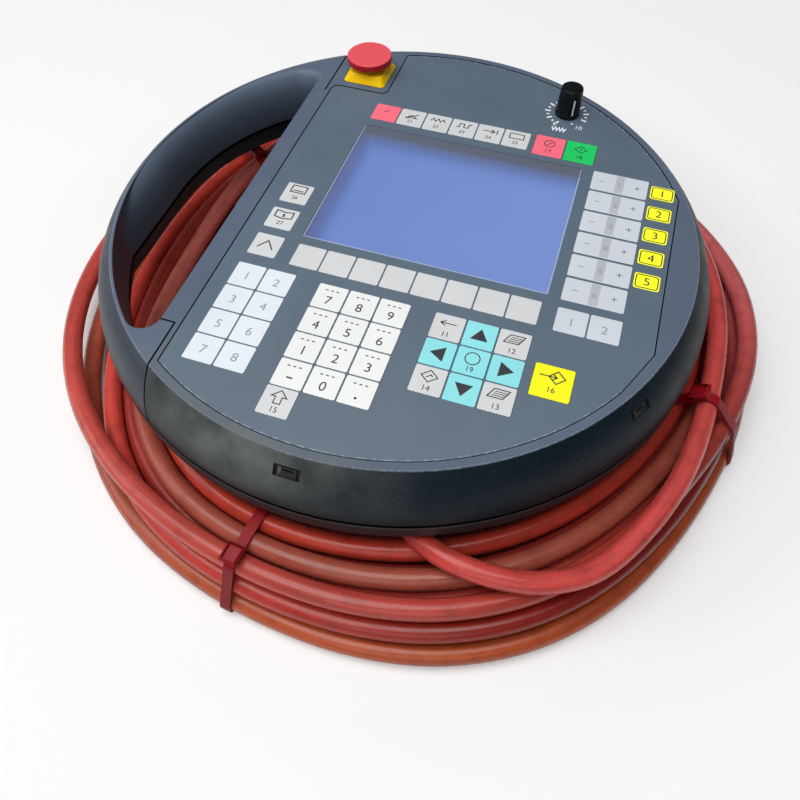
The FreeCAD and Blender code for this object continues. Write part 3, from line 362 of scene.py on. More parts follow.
# %% Faded plastic with painted light and shade
def faded(name, side, top, turned=(0.8, 0.97), rough=(0.36, 0.5), lean=0.0, shine=0.3):
    """Plastic with a darker colour on its sides than on the faces that lie open to the light: painted shade
    on the sides and painted light on the faces turned up.

    With some lean, faces turned to the middle get more of the painted light than those turned outwards.
    """
    finish = Finish(name)
    outwards = finish.vector("NORMALIZE", finish.flat())[0]
    light_from = finish.vector("MULTIPLY_ADD", outwards, (-lean, -lean, 0), (0, 0, 1))[0]
    normal = finish.node("ShaderNodeNewGeometry").outputs["Normal"]
    facing_light = finish.vector("DOT_PRODUCT", normal, light_from)["Value"]
    patches = finish.spread(finish.cloud(MOTTLE), 0, 1)
    dark = finish.blend(patches, tinted(side, 0.9), tinted(side, 1.1))
    pale = finish.blend(patches, tinted(top, 0.93), tinted(top, 1.07))
    # Painted light and shade: faces turned up get the paler colour, the sides the darker one.
    finish.set("Base Color", finish.blend(finish.spread(facing_light, 0, 1, *turned), dark, pale))
    finish.set("Roughness", finish.spread(finish.cloud(GLOSS), *rough))
    finish.set("Specular IOR Level", shine)
    finish.relief(finish.cloud(2600, 1.0), 0.03)
    return finish


# The stop head and the ties get paler tops as painted light.
STOP_RED = faded("stop_red", screen(176, 26, 38), screen(232, 88, 96), (0.5, 0.95), (0.32, 0.44)).material
TIE_RED = faded("tie_red", screen(112, 3, 14), screen(138, 6, 20), (0.2, 0.9), (0.4, 0.55)).material
print("made", STOP_RED.name, "and", TIE_RED.name)

# %% Rubbed edges
FLARE = 0.0115           # how far the band flares out below the face
HOUSING_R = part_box("front_shell")[1].x
EDGE_R = HOUSING_R - FLARE
FOIL_RIM_R = EDGE_R - 0.0043             # just inside the outline of the foil
FACE_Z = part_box("front_shell")[1].z
RIM_Z = FACE_Z - 0.0012  # the pale lines of wear and painted highlight are kept to the edges above this height
PALE_LINE_W = 0.0004           # half the width of a pale line of wear and painted highlight


def rubbed_line(finish, at, grain, strength):
    """A thin broken pale line at a distance from the middle: wear, and on the housing's upper edge also a
    painted highlight.
    """
    radius = finish.distance()
    line = finish.times(finish.spread(radius, 0, 1, at - PALE_LINE_W, at - PALE_LINE_W / 3),
                        finish.spread(radius, 1, 0, at + PALE_LINE_W / 3, at + PALE_LINE_W))
    high = finish.times(line, finish.spread(finish.axis("Z"), 0, 1, RIM_Z, RIM_Z + 0.0005))
    share = finish.times(high, finish.spread(finish.cloud(grain, 4), *strength, 0.42, 0.6))
    finish.lay_over(share, screen(156, 166, 180))


foil = moulded("foil_slate", screen(88, 104, 119), (0.42, 0.55), 0.05, 3200, 0.015)
rubbed_line(foil, FOIL_RIM_R, 500, (0.0, 0.6))
FOIL = foil.material
print("rubbed at radius", round(EDGE_R, 4), "and", round(FOIL_RIM_R, 4), "above", round(RIM_Z, 4))

# %% Rear shell and the seam
SEAM_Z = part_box("grip_handle")[0].z      # lower edge of the band, over the open seam between the shells
SEAM_SHADE = 0.0019      # height of the painted shade over the seam
LIP_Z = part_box("rear_shell")[1].z        # upper edge of the rear shell's rim
LIP_LIGHT = 0.0006       # height of the painted highlight on the rim's upper edge


def seam_shade(finish, shine):
    """Painted shade at the open seam: a black, dull edge."""
    over = (SEAM_Z + SEAM_SHADE * 0.8, SEAM_Z + SEAM_SHADE)
    finish.lay_over(finish.spread(finish.axis("Z"), 1, 0, *over), screen(3, 4, 5))
    finish.set("Specular IOR Level", finish.spread(finish.axis("Z"), 0, shine, *over))


def rear_finish():
    finish = faded("rear_plastic", screen(30, 34, 38), screen(34, 38, 42))
    # Pale upper edge of the rim: a painted highlight.
    lip_highlight = finish.times(finish.spread(finish.axis("Z"), 0, 1, LIP_Z - LIP_LIGHT, LIP_Z - LIP_LIGHT * 0.6),
                       finish.spread(finish.cloud(70), 0.45, 0.9))
    finish.lay_over(lip_highlight, screen(70, 75, 80))
    return finish.material


REAR = rear_finish()
print("seam between", round(LIP_Z, 4), "and", round(SEAM_Z, 4))

# %% Housing with specks and painted light
HIGHLIGHT_FROM, HIGHLIGHT_TO = (-2.35, -1.85), (-1.75, -1.2)   # radians over which the painted highlight sets in and ends
HIGHLIGHT_H = 0.02            # height over the seam at which the painted highlight is full


def housing_finish(name, side, turned, highlight, lean=0.0, shine=0.3):
    """Toned plastic with painted light, specks all round, a pale upper edge of wear and painted highlight, a
    veil of painted highlight at the front left and painted shade at the seam.
    """
    finish = faded(name, side, screen(89, 101, 119), turned, lean=lean, shine=shine)
    # Upper edge of the band: a thin line of wear and painted highlight.
    rubbed_line(finish, EDGE_R, 800, (0.2, 0.45))
    specks = finish.times(finish.spread(finish.cloud(900, 2), 0, 1, 0.66, 0.74),
                          finish.spread(finish.cloud(18), 0, 0.2))
    finish.lay_over(specks, screen(140, 142, 142))
    # A broad painted highlight at the front left of the band, laid on as a pale veil.
    turn = finish.reckon("ARCTAN2", finish.axis("Y"), finish.axis("X"))
    front_left = finish.times(finish.spread(turn, 0, 1, *HIGHLIGHT_FROM), finish.spread(turn, 1, 0, *HIGHLIGHT_TO))
    highlit = finish.times(front_left, finish.spread(finish.axis("Z"), 0, highlight, SEAM_Z, SEAM_Z + HIGHLIGHT_H))
    highlight_veil = finish.times(highlit, finish.spread(finish.cloud(60, 5), 0.35, 1.0))
    finish.lay_over(highlight_veil, screen(106, 109, 106))
    seam_shade(finish, shine)
    return finish.material


# On the housing the paler tops are partly faded slate and partly painted light; the grip leans to the middle,
# so its inner flank gets more painted light.
HOUSING = housing_finish("housing_plastic", screen(13, 26, 34), (0.8, 0.97), 1.0, shine=0.12)
GRIP = housing_finish("grip_plastic", screen(33, 41, 56), (0.3, 0.95), 0.2, lean=0.5)
print("made", HOUSING.name, "and", GRIP.name)

# %% [markdown]
# ### Keys and prints
# The keys are printed on the back of the foil's clear windows, so they share its satin surface and differ
# in colour only, and one function makes them all. The stop button's parts are glossier, and the metal of
# the plug and the screws is brushed. The labels are fluorescent, so they give off a little light of their
# own.

# %% Key and label finishes
KEY_COLOURS = {
    "key_grey": (208, 210, 212),
    "key_white": (234, 236, 235),
    "key_cyan": (140, 222, 228),
    "key_yellow": (248, 246, 6),
    "key_red": (252, 112, 132),
    "key_green": (22, 204, 100),
    "key_pale_blue": (206, 212, 220),
}


def film(name, rgb):
    return moulded(name, screen(*rgb), (0.4, 0.52), 0.03, 3000, 0.01)


SLOT_FINISH = {slot: film(slot, rgb).material for slot, rgb in KEY_COLOURS.items()}
USER_WHITE = film("user_white", (221, 228, 235)).material
fluorescent = film("label_yellow", (250, 248, 20))
fluorescent.set("Emission Color", screen(255, 255, 70))
fluorescent.set("Emission Strength", 0.22)
LABEL_YELLOW = fluorescent.material
print("key finishes:", sorted(SLOT_FINISH))

# %% Button, metal and ink finishes
def brushed(name, colour):
    finish = moulded(name, colour, (0.25, 0.42), 0.05, 900, 0.01)
    finish.set("Metallic", 1.0)
    return finish.material


def ink(name, rgb, mottle):
    return moulded(name, screen(*rgb), (0.5, 0.6), mottle).material


SLOT_FINISH.update({
    "housing_plastic": HOUSING,
    "seal_rubber": SEAL,
    "foil_slate": FOIL,
    "stop_yellow": moulded("stop_yellow", screen(255, 204, 2), (0.3, 0.4), 0.03, 1500, 0.008, 0.25).material,
    "stop_red": STOP_RED,
    "stop_dark": moulded("stop_dark", screen(40, 40, 43), (0.5, 0.6)).material,
    "knob_black": moulded("knob_black", screen(9, 14, 20), (0.34, 0.46), 0.1, 1800, 0.01, 0.2).material,
    "enable_grey": moulded("enable_grey", screen(150, 152, 156), (0.45, 0.55)).material,
    "tie_red": TIE_RED,
    "board_green": moulded("board_green", screen(40, 110, 70), (0.3, 0.4)).material,
    "screw_steel": brushed("screw_steel", screen(190, 190, 194)),
    "plug_metal": brushed("plug_metal", screen(205, 205, 208)),
})
INK_DARK = ink("ink_dark", (44, 46, 52), 0.1)
INK_WINE = ink("ink_wine", (150, 34, 48), 0.08)
INK_PALE = ink("ink_pale", (232, 236, 240), 0.04)
INK_BLUE = ink("ink_blue", (146, 153, 163), 0.06)
INK_BAND = ink("ink_band", (178, 184, 190), 0.05)
print("finishes so far:", len(bpy.data.materials))

# %% [markdown]
# ### Display and pane
# The display shows nothing but its backlight, so it is a smooth periwinkle glow that gets a little paler
# towards the right, a painted reflection. The clear pane over it is mostly see-through. Along its back and
# left edges it carries a soft grey border of painted shade, where the sunk display lies in the shade of
# the frame. A glass shader could bend the light for that, but an alpha that rises towards these edges
# gives the same look with far less noise.

# %% Display finish
GLOW_FROM, GLOW_TO = -0.04, 0.075        # about the left and right end of the display, in metres, over which the painted reflection grows


def display_finish():
    finish = Finish("display_blue")
    painted_reflection = finish.spread(finish.axis("X"), 0, 1, GLOW_FROM, GLOW_TO)
    # Paler towards the right: a painted reflection in the glow.
    finish.set("Emission Color", finish.blend(painted_reflection, screen(112, 137, 202), screen(121, 146, 209)))
    finish.set("Emission Strength", 0.85)
    finish.set("Base Color", finish.blend(finish.cloud(40), screen(44, 54, 82), screen(48, 58, 88)))
    finish.set("Roughness", finish.spread(finish.cloud(40), 0.3, 0.4))
    return finish.material


SLOT_FINISH["display_blue"] = display_finish()
print("display glows over", round(GLOW_TO - GLOW_FROM, 3), "m")

# %% Pane finish
PANE_EDGE = 0.003        # part of the pane hidden under the foil, in metres
pane_low, pane_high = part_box("display_window")


def pane_finish():
    finish = Finish("clear_pane")
    back, left = pane_high.y - PANE_EDGE, pane_low.x + PANE_EDGE
    # Soft border of painted shade along the back and left edges: the pane turns opaque there.
    shade_behind = finish.spread(finish.axis("Y"), 0.03, 0.95, back - 0.017, back - 0.006)
    shade_beside = finish.spread(finish.axis("X"), 0.92, 0.03, left + 0.005, left + 0.009)
    upper = finish.spread(finish.axis("Z"), 0.02, 1, pane_high.z - 0.0003, pane_high.z - 0.0001)
    finish.set("Alpha", finish.times(finish.reckon("MAXIMUM", shade_behind, shade_beside), upper))
    blue = finish.blend(finish.cloud(60), screen(94, 108, 158), screen(100, 114, 164))
    # The border turns greyer towards the back edge, also painted shade.
    greyer_shade = finish.spread(finish.axis("Y"), 0, 1, back - 0.016, back - 0.003)
    finish.set("Base Color", finish.blend(greyer_shade, blue, screen(98, 104, 116)))
    finish.set("Roughness", finish.spread(finish.cloud(25), 0.1, 0.18))
    return finish.material


SLOT_FINISH["clear_pane"] = pane_finish()
print("pane up to z", round(pane_high.z / MM, 2))

# %% [markdown]
# ### Cable sheath
# The sheath is salmon red, but no two turns have faded alike: some are brownish, some deep red, some
# nearly orange. The tints also hold painted light and painted shade: stretches that lie low or in shade
# in the heap are painted darker, and some in the hand opening are painted lighter. The spline's own UV
# runs from one end of the cable to the other, so a ramp along it gives each turn its tint, and the cable
# stays one piece. The UV counts evenly from point to point of the route, so a place on the ramp is only
# about the length in metres. Noise adds the grime that handling leaves.

# %% Cable finish
TINTS_AND_SHADE = (                # place along the cable, in about metres, and the sheath's colour there, with painted light and shade in it
    (0.0, (176, 52, 38)), (0.3, (206, 78, 74)), (0.75, (202, 72, 70)), (1.0, (194, 80, 70)),
    (1.13, (178, 68, 58)), (1.24, (150, 52, 40)), (1.3, (150, 54, 46)), (1.4, (206, 102, 104)),
    (1.6, (180, 82, 76)), (1.8, (184, 94, 84)), (1.95, (160, 78, 62)), (2.4, (150, 72, 56)),
    (2.65, (172, 52, 50)), (2.9, (194, 62, 44)), (3.3, (170, 50, 40)), (3.6, (150, 42, 34)),
    (5.1, (150, 42, 38)), (5.3, (206, 82, 74)), (5.45, (166, 64, 54)), (5.7, (150, 42, 36)),
    (6.15, (208, 72, 66)), (6.52, (190, 58, 46)), (6.66, (202, 70, 60)), (6.76, (184, 60, 50)),
    (6.84, (136, 30, 22)), (6.96, (116, 22, 16)), (7.08, (186, 84, 84)), (7.4, (152, 64, 58)),
    (7.62, (168, 84, 62)), (7.76, (176, 80, 42)), (7.9, (156, 68, 34)), (10.0, (150, 44, 36)),
)


def cable_finish():
    finish = Finish("cable_red")
    along = finish.tree.nodes.new("ShaderNodeTexCoord").outputs["UV"]
    run = finish.node("ShaderNodeSeparateXYZ", {"Vector": along}).outputs["X"]
    ramp = finish.node("ShaderNodeValToRGB", {"Fac": run})
    stops = ramp.color_ramp.elements
    stops[0].color = screen(*TINTS_AND_SHADE[0][1])
    stops[1].color = screen(*TINTS_AND_SHADE[-1][1])
    for place, rgb in TINTS_AND_SHADE[1:-1]:
        stops.new(place / CABLE_LENGTH).color = screen(*rgb)
    streaks = finish.vector("MULTIPLY", along, (CABLE_LENGTH * 16, 9, 0))[0]
    worn = finish.spread(finish.cloud(1, 3, streaks), 0, 0.5, 0.42, 0.72)
    dull = finish.blend(worn, ramp.outputs["Color"], screen(112, 48, 40))
    grime = finish.spread(finish.cloud(130, 4), 0, 0.4, 0.5, 0.8)
    finish.set("Base Color", finish.blend(grime, dull, screen(92, 34, 28)))
    finish.set("Roughness", finish.spread(finish.cloud(80), 0.2, 0.32))
    finish.set("Specular IOR Level", 0.36)
    finish.relief(finish.cloud(700, 2), 0.03)
    return finish.material


SLOT_FINISH["cable_red"] = cable_finish()
line.materials.append(SLOT_FINISH["cable_red"])
print("tints along the cable:", len(TINTS_AND_SHADE))

# %% [markdown]
# ## Skins for the CAD pieces
# A CAD node arrives as triangles with hard edges. For each visible piece a copy of its mesh is joined up,
# its flat areas become single faces again, round areas are shaded smooth and sharp edges get a small
# rounding. The copy rides on the node's body and stands for the node. Modelling each piece again could
# give the same look, but a copy keeps every size of the CAD.

# %% Joined mesh of a node
SMOOTH_BELOW = math.radians(32)


def mesh_from(bm, name):
    """End the editing of a mesh and keep it under a name."""
    mesh = bpy.data.meshes.new(name)
    bm.to_mesh(mesh)
    bm.free()
    return mesh


def joined_mesh(node):
    bm = bmesh.new()
    bm.from_mesh(frame["nodes"][node].data)
    bmesh.ops.remove_doubles(bm, verts=bm.verts, dist=0.002 * MM)
    bmesh.ops.dissolve_limit(bm, angle_limit=math.radians(0.2), verts=bm.verts, edges=bm.edges)
    for face in bm.faces:
        face.smooth = True
    for edge in bm.edges:
        edge.smooth = edge.calc_face_angle(math.pi) < SMOOTH_BELOW
    return mesh_from(bm, node + "_skin")


print("smooth below", round(math.degrees(SMOOTH_BELOW)), "degrees")

# %% Make a skin
SLOT_OF = {piece["node"]: piece["material_slot"] for piece in frame["record"]["subparts"]}
BODY_OF = {node: body for body, nodes in frame["record"]["behaviour"]["bodies"].items() for node in nodes}


def skin(node, rounding):
    mesh = joined_mesh(node)
    mesh.materials.append(SLOT_FINISH[SLOT_OF[node]])
    piece = add_object(node + "_skin", mesh)
    if rounding:
        bevel = piece.modifiers.new("rounding", "BEVEL")
        bevel.width = rounding * MM
        bevel.segments = 2
        bevel.limit_method = "ANGLE"
        bevel.angle_limit = math.radians(40)
    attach(piece, BODY_OF[node])
    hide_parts(node)
    return piece


print("slots in use:", sorted(set(SLOT_OF.values())))

# %% Skins for all pieces that show
KEYS = sorted(node for node in SLOT_OF if node.startswith("key_") and node != "key_domes")
ROUNDING = {                             # millimetres
    "front_shell": 0.5, "grip_handle": 0.5, "grip_base": 0.4, "rear_shell": 0.4, "keypad_foil": 0.12,
    "stop_collar": 0.4, "stop_head": 0.3, "stop_plunger": 0.2, "override_knob": 0.25, "cable_gland": 0.4,
    "cable_cover": 0.3, "cable_plug": 0.4, "plug_coupling_ring": 0.3, "enabling_button_left": 0.6,
    "enabling_button_right": 0.6, "housing_seal": 0.0, "housing_screws": 0.15, "display_window": 0.0,
    "function_keys": 0.1, "user_keys": 0.1, "axis_keys": 0.1,
}
ROUNDING.update({key: 0.15 for key in KEYS})
OWN_FINISH = {"grip_handle": GRIP, "grip_base": REAR, "rear_shell": REAR, "cable_cover": REAR,
              "user_keys": USER_WHITE}
SKINS = {node: skin(node, rounding) for node, rounding in ROUNDING.items()}
for node, finish in OWN_FINISH.items():
    SKINS[node].data.materials[0] = finish
for node, thing in frame["nodes"].items():
    thing.data.materials.clear()
    thing.data.materials.append(SLOT_FINISH[SLOT_OF[node]])
print("skins:", len(SKINS), "faces:", sum(len(piece.data.polygons) for piece in SKINS.values()))

# %% [markdown]
# ### Pockets of the latches
# Four small latches hold the shells together. Each one sits in a pocket of the band, with a slotted tab
# left standing in it. On the real housing these pockets look black, because they lie in shade. Dark plugs
# could fill them, but it is enough that the faces that lie deeper than the tab get the dull black of the
# seal as painted shade. They are found by their depth below the band's curve, which is an arc from the
# seam up to the face.

# %% Painted shade in the pockets of the band
BAND_H = FACE_Z - SEAM_Z
BAND_ROUND = (FLARE ** 2 + BAND_H ** 2) / (2 * FLARE)    # radius of the band's curve
BAND_MIDDLE = HOUSING_R - BAND_ROUND                     # distance of its centre from the axis
LATCH_FIRST, LATCH_STEP, LATCH_COUNT = -90.5, 60.0, 4
LATCH_Z, LATCH_HALF_W, LATCH_HALF_H = FACE_Z - 0.0055, 0.0056, 0.003
TAB_DEPTH, POCKET_DEPTH = 0.00061, 0.003


def in_pocket(spot):
    """Whether a spot on the shell lies deep in the pocket of a latch."""
    if abs(spot.z - LATCH_Z) >= LATCH_HALF_H:
        return False
    radius = math.hypot(spot.x, spot.y)
    angle = math.degrees(math.atan2(spot.y, spot.x))
    aside = min(abs(angle - LATCH_FIRST - i * LATCH_STEP) for i in range(LATCH_COUNT))
    depth = BAND_MIDDLE + math.sqrt(BAND_ROUND ** 2 - (spot.z - SEAM_Z) ** 2) - radius
    return math.radians(aside) * radius < LATCH_HALF_W and TAB_DEPTH < depth < POCKET_DEPTH


band = SKINS["front_shell"].data
# Faces deep in the pockets get the seal's black as painted shade.
band.materials.append(SEAL)
for face in band.polygons:
    if in_pocket(face.center):
        face.material_index = 1
print("black faces in the pockets:", sum(face.material_index == 1 for face in band.polygons))

# %% [markdown]
# ### One red key among the grey ones
# The row over the display starts with a red key. All keys of that row are one node, so a second finish on
# the same mesh is the simplest way: it goes on the faces of the first key, which lie left of the second
# one.

# %% Red function key
ROW_DEPTH, RED_RIGHT = 0.014, -0.025     # front to back of the row, and right end of the red key
function_row = SKINS["function_keys"].data
function_row.materials.append(SLOT_FINISH["key_red"])
row_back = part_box("function_keys")[1].y
for face in function_row.polygons:
    if face.center.y > row_back - ROW_DEPTH and face.center.x < RED_RIGHT:
        face.material_index = 1
print("red faces:", sum(face.material_index == 1 for face in function_row.polygons))

# %% [markdown]
# ## Printed marks
# Marks on the keys are thin raised prints: plain numbers and simple signs, with a small key number under
# some of the signs and short dashes over the digits. Each print is a flat outline, made from a text
# curve, a filled shape or a line of a given width, that is then lifted by a few hundredths of a
# millimetre. A picture could show them too, but an outline stays sharp from near by. It rides on the body
# of its key, so it sinks with it.

# %% Writing and filled shapes
def write(bm, words, x, y, size):
    letters = bpy.data.curves.new("letters", "FONT")
    letters.body = words
    letters.size = size * MM
    letters.align_x = "CENTER"
    letters.align_y = "CENTER"
    writer = bpy.data.objects.new("letters", letters)
    flat = writer.to_mesh()
    flat.transform(Matrix.Translation((x * MM, y * MM, 0)))
    bm.from_mesh(flat)
    writer.to_mesh_clear()
    bpy.data.objects.remove(writer)


def shape(bm, points):
    bm.faces.new([bm.verts.new((x * MM, y * MM, 0)) for x, y in points])


def ring_points(radius, count=28, start=0, stop=360):
    last = count if stop - start >= 360 else count - 1
    return [polar(radius, start + (stop - start) * i / last) for i in range(count)]


print("points on a full ring:", len(ring_points(1.0)))

# %% Lines of even width
LINE_W, FINE_W, BOLD_W = 0.45, 0.4, 0.5  # widths of printed lines, in millimetres
MITRE_LEAST = 0.35       # keeps the corners of sharp bends short


def stroke(bm, points, width=LINE_W, closed=False):
    """A line of even width through the points, with mitred corners."""
    spots = [Vector((x, y)) for x, y in points]
    count = len(spots)
    sides = []
    for i, spot in enumerate(spots):
        ways = []
        if i or closed:
            ways.append((spot - spots[i - 1]).normalized())
        if i + 1 < count or closed:
            ways.append((spots[(i + 1) % count] - spot).normalized())
        normal = sum((Vector((-w.y, w.x)) for w in ways), Vector((0, 0))).normalized()
        reach = width / 2 / max(MITRE_LEAST, normal.dot(Vector((-ways[0].y, ways[0].x))))
        sides.append([bm.verts.new((*((spot + side * reach * normal) * MM), 0)) for side in (1, -1)])
    for i in range(count if closed else count - 1):
        (a, b), (c, d) = sides[i], sides[(i + 1) % count]
        bm.faces.new((a, b, d, c))


print("line widths:", FINE_W, LINE_W, BOLD_W)

# %% Raised prints
PRINT_T = 0.05           # thickness of a print, in millimetres
ON_PRINT = Vector((0, 0, PRINT_T * MM))  # lifts a print onto another one


def settle_faces(bm):
    """Put the faces in the same order on every run, which an extrusion leaves to chance."""
    bm.verts.index_update()
    ordered = sorted(bm.faces, key=lambda face: sorted(corner.index for corner in face.verts))
    for count, face in enumerate(ordered):
        face.index = count
    bm.faces.sort()


def printed(name, body, at, finish, draw, scale=1.0):
    """A print drawn by a function round a point on the object, given in metres."""
    bm = bmesh.new()
    draw(bm)
    bmesh.ops.scale(bm, vec=(scale, scale, 1), verts=bm.verts)
    raised = bmesh.ops.extrude_face_region(bm, geom=bm.faces[:])["geom"]
    upper = [part for part in raised if isinstance(part, bmesh.types.BMVert)]
    bmesh.ops.translate(bm, verts=upper, vec=(0, 0, PRINT_T * MM))
    settle_faces(bm)
    bmesh.ops.recalc_face_normals(bm, faces=bm.faces)
    mesh = mesh_from(bm, name)
    mesh.materials.append(finish)
    piece = add_object(name, mesh)
    piece.location = at
    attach(piece, body)


def top_of(node):
    low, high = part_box(node)
    return Vector(((low.x + high.x) / 2, (low.y + high.y) / 2, high.z))


print("prints are", PRINT_T, "mm thick")

# %% Numbers, dashes and cursor signs
DIGIT_Y, DASH_Y = -2.0, 3.6      # a digit of the number pad and the dashes over it, from the key's middle


def number(text, size=6.2, y=-0.6):
    return lambda bm: write(bm, text, 0, y, size)


def under_dashes(draw):
    """A sign in the lower part of a key, with three short dashes over it."""
    def both(bm):
        draw(bm)
        for x in (-2.4, 0, 2.4):
            stroke(bm, [(x - 0.6, DASH_Y), (x + 0.6, DASH_Y)], BOLD_W)
    return both


def arrow(turns):
    """A filled triangle, turned by quarter turns from pointing right."""
    def draw(bm):
        cos, sin = polar(1, 90 * turns)
        shape(bm, [(x * cos - y * sin, x * sin + y * cos) for x, y in ((3.4, 0), (-2.6, 3.7), (-2.6, -3.7))])
    return draw


def open_ring(bm):
    stroke(bm, [(x, y + 1.6) for x, y in ring_points(3.0)], closed=True)


SIGNS = {f"key_{digit}": under_dashes(number(str(digit), 6.2, DIGIT_Y)) for digit in range(10)}
SIGNS.update({
    "key_minus": under_dashes(lambda bm: stroke(bm, [(-1.3, DIGIT_Y), (1.3, DIGIT_Y)], 0.7)),
    "key_point": under_dashes(lambda bm: shape(bm, [(x, y + DIGIT_Y - 1) for x, y in ring_points(0.6, 12)])),
    "key_up": arrow(1), "key_left": arrow(2), "key_down": arrow(3), "key_right": arrow(0),
    "key_select": open_ring,
})
print("numbers and cursor signs:", len(SIGNS))

# %% Signs of the grey keys
def way_back(bm):
    stroke(bm, [(-1.2, 3.4), (-3.4, 2.0), (-1.2, 0.6)])
    stroke(bm, [(-3.2, 2.0), (3.4, 2.0)])


def page(bm):
    stroke(bm, [(-4.2, 0.2), (2.0, 0.2), (4.2, 4.4), (-2.0, 4.4)], closed=True)
    for step in (1.2, 2.2, 3.2):
        stroke(bm, [(-3.2 + step * 0.52, step), (2.0 + step * 0.52, step)], 0.35)


def wedge(bm):
    stroke(bm, [(-3.4, 2.0), (0, 4.9), (3.4, 2.0), (0, -0.9)], closed=True)
    stroke(bm, [(-1.2, 1.3), (0.6, 2.8), (1.3, 1.9)])


def lift(bm):
    half = [(3.2, 2.2), (1.4, 2.2), (1.4, -1.0)]
    stroke(bm, [(0, 5.2), *half, *((-x, y) for x, y in half[::-1])], closed=True)


SIGNS.update({"key_back": way_back, "key_page_up": page, "key_page_down": page, "key_insert": wedge,
              "key_shift": lift})
print("signs so far:", len(SIGNS))

# %% Signs of the input, stop and start keys
def enter(bm):
    stroke(bm, [(-1.8, 2.6), (1.5, 5.7), (4.8, 2.6), (1.5, -0.5)], BOLD_W, True)
    stroke(bm, [(-5.6, 2.6), (1.4, 2.6)], BOLD_W)
    stroke(bm, [(-0.2, 4.0), (1.5, 2.6), (-0.2, 1.2)], BOLD_W)


def halt(bm):
    stroke(bm, [(x, y + 2) for x, y in ring_points(2.6)], closed=True)
    stroke(bm, [(-1.3, 0.7), (1.3, 3.3)])


def go(bm):
    stroke(bm, [(-3.0, 2.2), (0, 4.8), (3.0, 2.2), (0, -0.4)], closed=True)
    stroke(bm, [(0, 1.2), (0, 3.2)])


SIGNS.update({"key_input": enter, "key_stop": halt, "key_start": go})
print("all signs:", len(SIGNS))

# %% Print the keys
CODED = ("key_back", "key_page_up", "key_page_down", "key_insert", "key_shift", "key_input", "key_stop",
         "key_start", "key_select")
for key, draw in SIGNS.items():
    printed(key + "_sign", BODY_OF[key], top_of(key), INK_DARK, draw)
for count, key in enumerate(CODED, 11):
    printed(key + "_code", BODY_OF[key], top_of(key), INK_DARK, number(str(count), 3.6, -3.9))
print("keys with a sign:", len(SIGNS), "with a key number:", len(CODED))

# %% [markdown]
# ### Keys that share a node
# The function, user and axis keys are fields of three nodes. Their places could be written down, but the
# meshes already hold them: each key is an island of its own, so its middle is found by walking from
# corner to corner.

# %% Places of the keys that share a node
def islands(bm):
    """Corners of a mesh, in groups that edges join."""
    left = set(bm.verts)
    while left:
        island, stack = set(), [left.pop()]
        while stack:
            corner = stack.pop()
            island.add(corner)
            near = {edge.other_vert(corner) for edge in corner.link_edges} & left
            left -= near
            stack.extend(near)
        yield island


def key_fields(node):
    """Middle of each separate key of a node, from the back row to the front and from left to right."""
    bm = bmesh.new()
    bm.from_mesh(SKINS[node].data)
    fields = []
    for island in islands(bm):
        xs, ys, zs = zip(*(corner.co for corner in island))
        fields.append(Vector(((min(xs) + max(xs)) / 2, (min(ys) + max(ys)) / 2, max(zs))))
    bm.free()
    return sorted(fields, key=lambda spot: (-round(spot.y / MM), spot.x))


function_fields = key_fields("function_keys")
user_fields = key_fields("user_keys")
axis_fields = key_fields("axis_keys")
print("fields:", len(function_fields), len(user_fields), len(axis_fields))

# %% Signs of the function row
def wave(bm):
    stroke(bm, [(x, 2.8 if x % 2 == 0 else 1.0) for x in range(-3, 4)], FINE_W)


def crossed(bm):
    stroke(bm, ring_points(1.5, 16, 0, 180), FINE_W)
    stroke(bm, [(-2.6, 0.0), (2.6, 0.0)], FINE_W)
    stroke(bm, [(-2.4, -0.8), (2.4, 2.6)], FINE_W)


def steps(bm):
    low, high = 0.6, 2.8
    corners = [(-3, low), (-1.8, low), (-1.8, high), (0, high), (0, low), (1.8, low), (1.8, high), (3, high)]
    stroke(bm, corners, FINE_W)


def run_on(bm):
    stroke(bm, [(-3, 1.6), (1.6, 1.6)], FINE_W)
    stroke(bm, [(0.4, 2.8), (1.8, 1.6), (0.4, 0.4)], FINE_W)
    stroke(bm, [(2.8, 3.0), (2.8, 0.2)], FINE_W)


def panel(bm):
    stroke(bm, [(-2.8, 0.2), (2.8, 0.2), (2.8, 3.2), (-2.8, 3.2)], FINE_W, True)


ROW_SIGNS = (crossed, wave, steps, run_on, panel)
print("signs of the row:", [draw.__name__ for draw in ROW_SIGNS])

# %% Signs of the menu column
def list_box(bm):
    stroke(bm, [(-2.8, 0.4), (2.8, 0.4), (2.8, 4.0), (-2.8, 4.0)], closed=True)
    stroke(bm, [(-2.0, 1.4), (2.0, 1.4)])


def open_book(bm):
    stroke(bm, [(-3.2, 0.6), (0, 0.0), (3.2, 0.6), (3.2, 3.8), (0, 3.2), (-3.2, 3.8)], closed=True)
    stroke(bm, [(0, 0.8), (0, 2.4)], 0.7)


def caret(bm):
    stroke(bm, [(-2.8, -1.6), (0, 2.2), (2.8, -1.6)])


MENU_SIGNS = (list_box, open_book, caret)
print("signs of the column:", [draw.__name__ for draw in MENU_SIGNS])

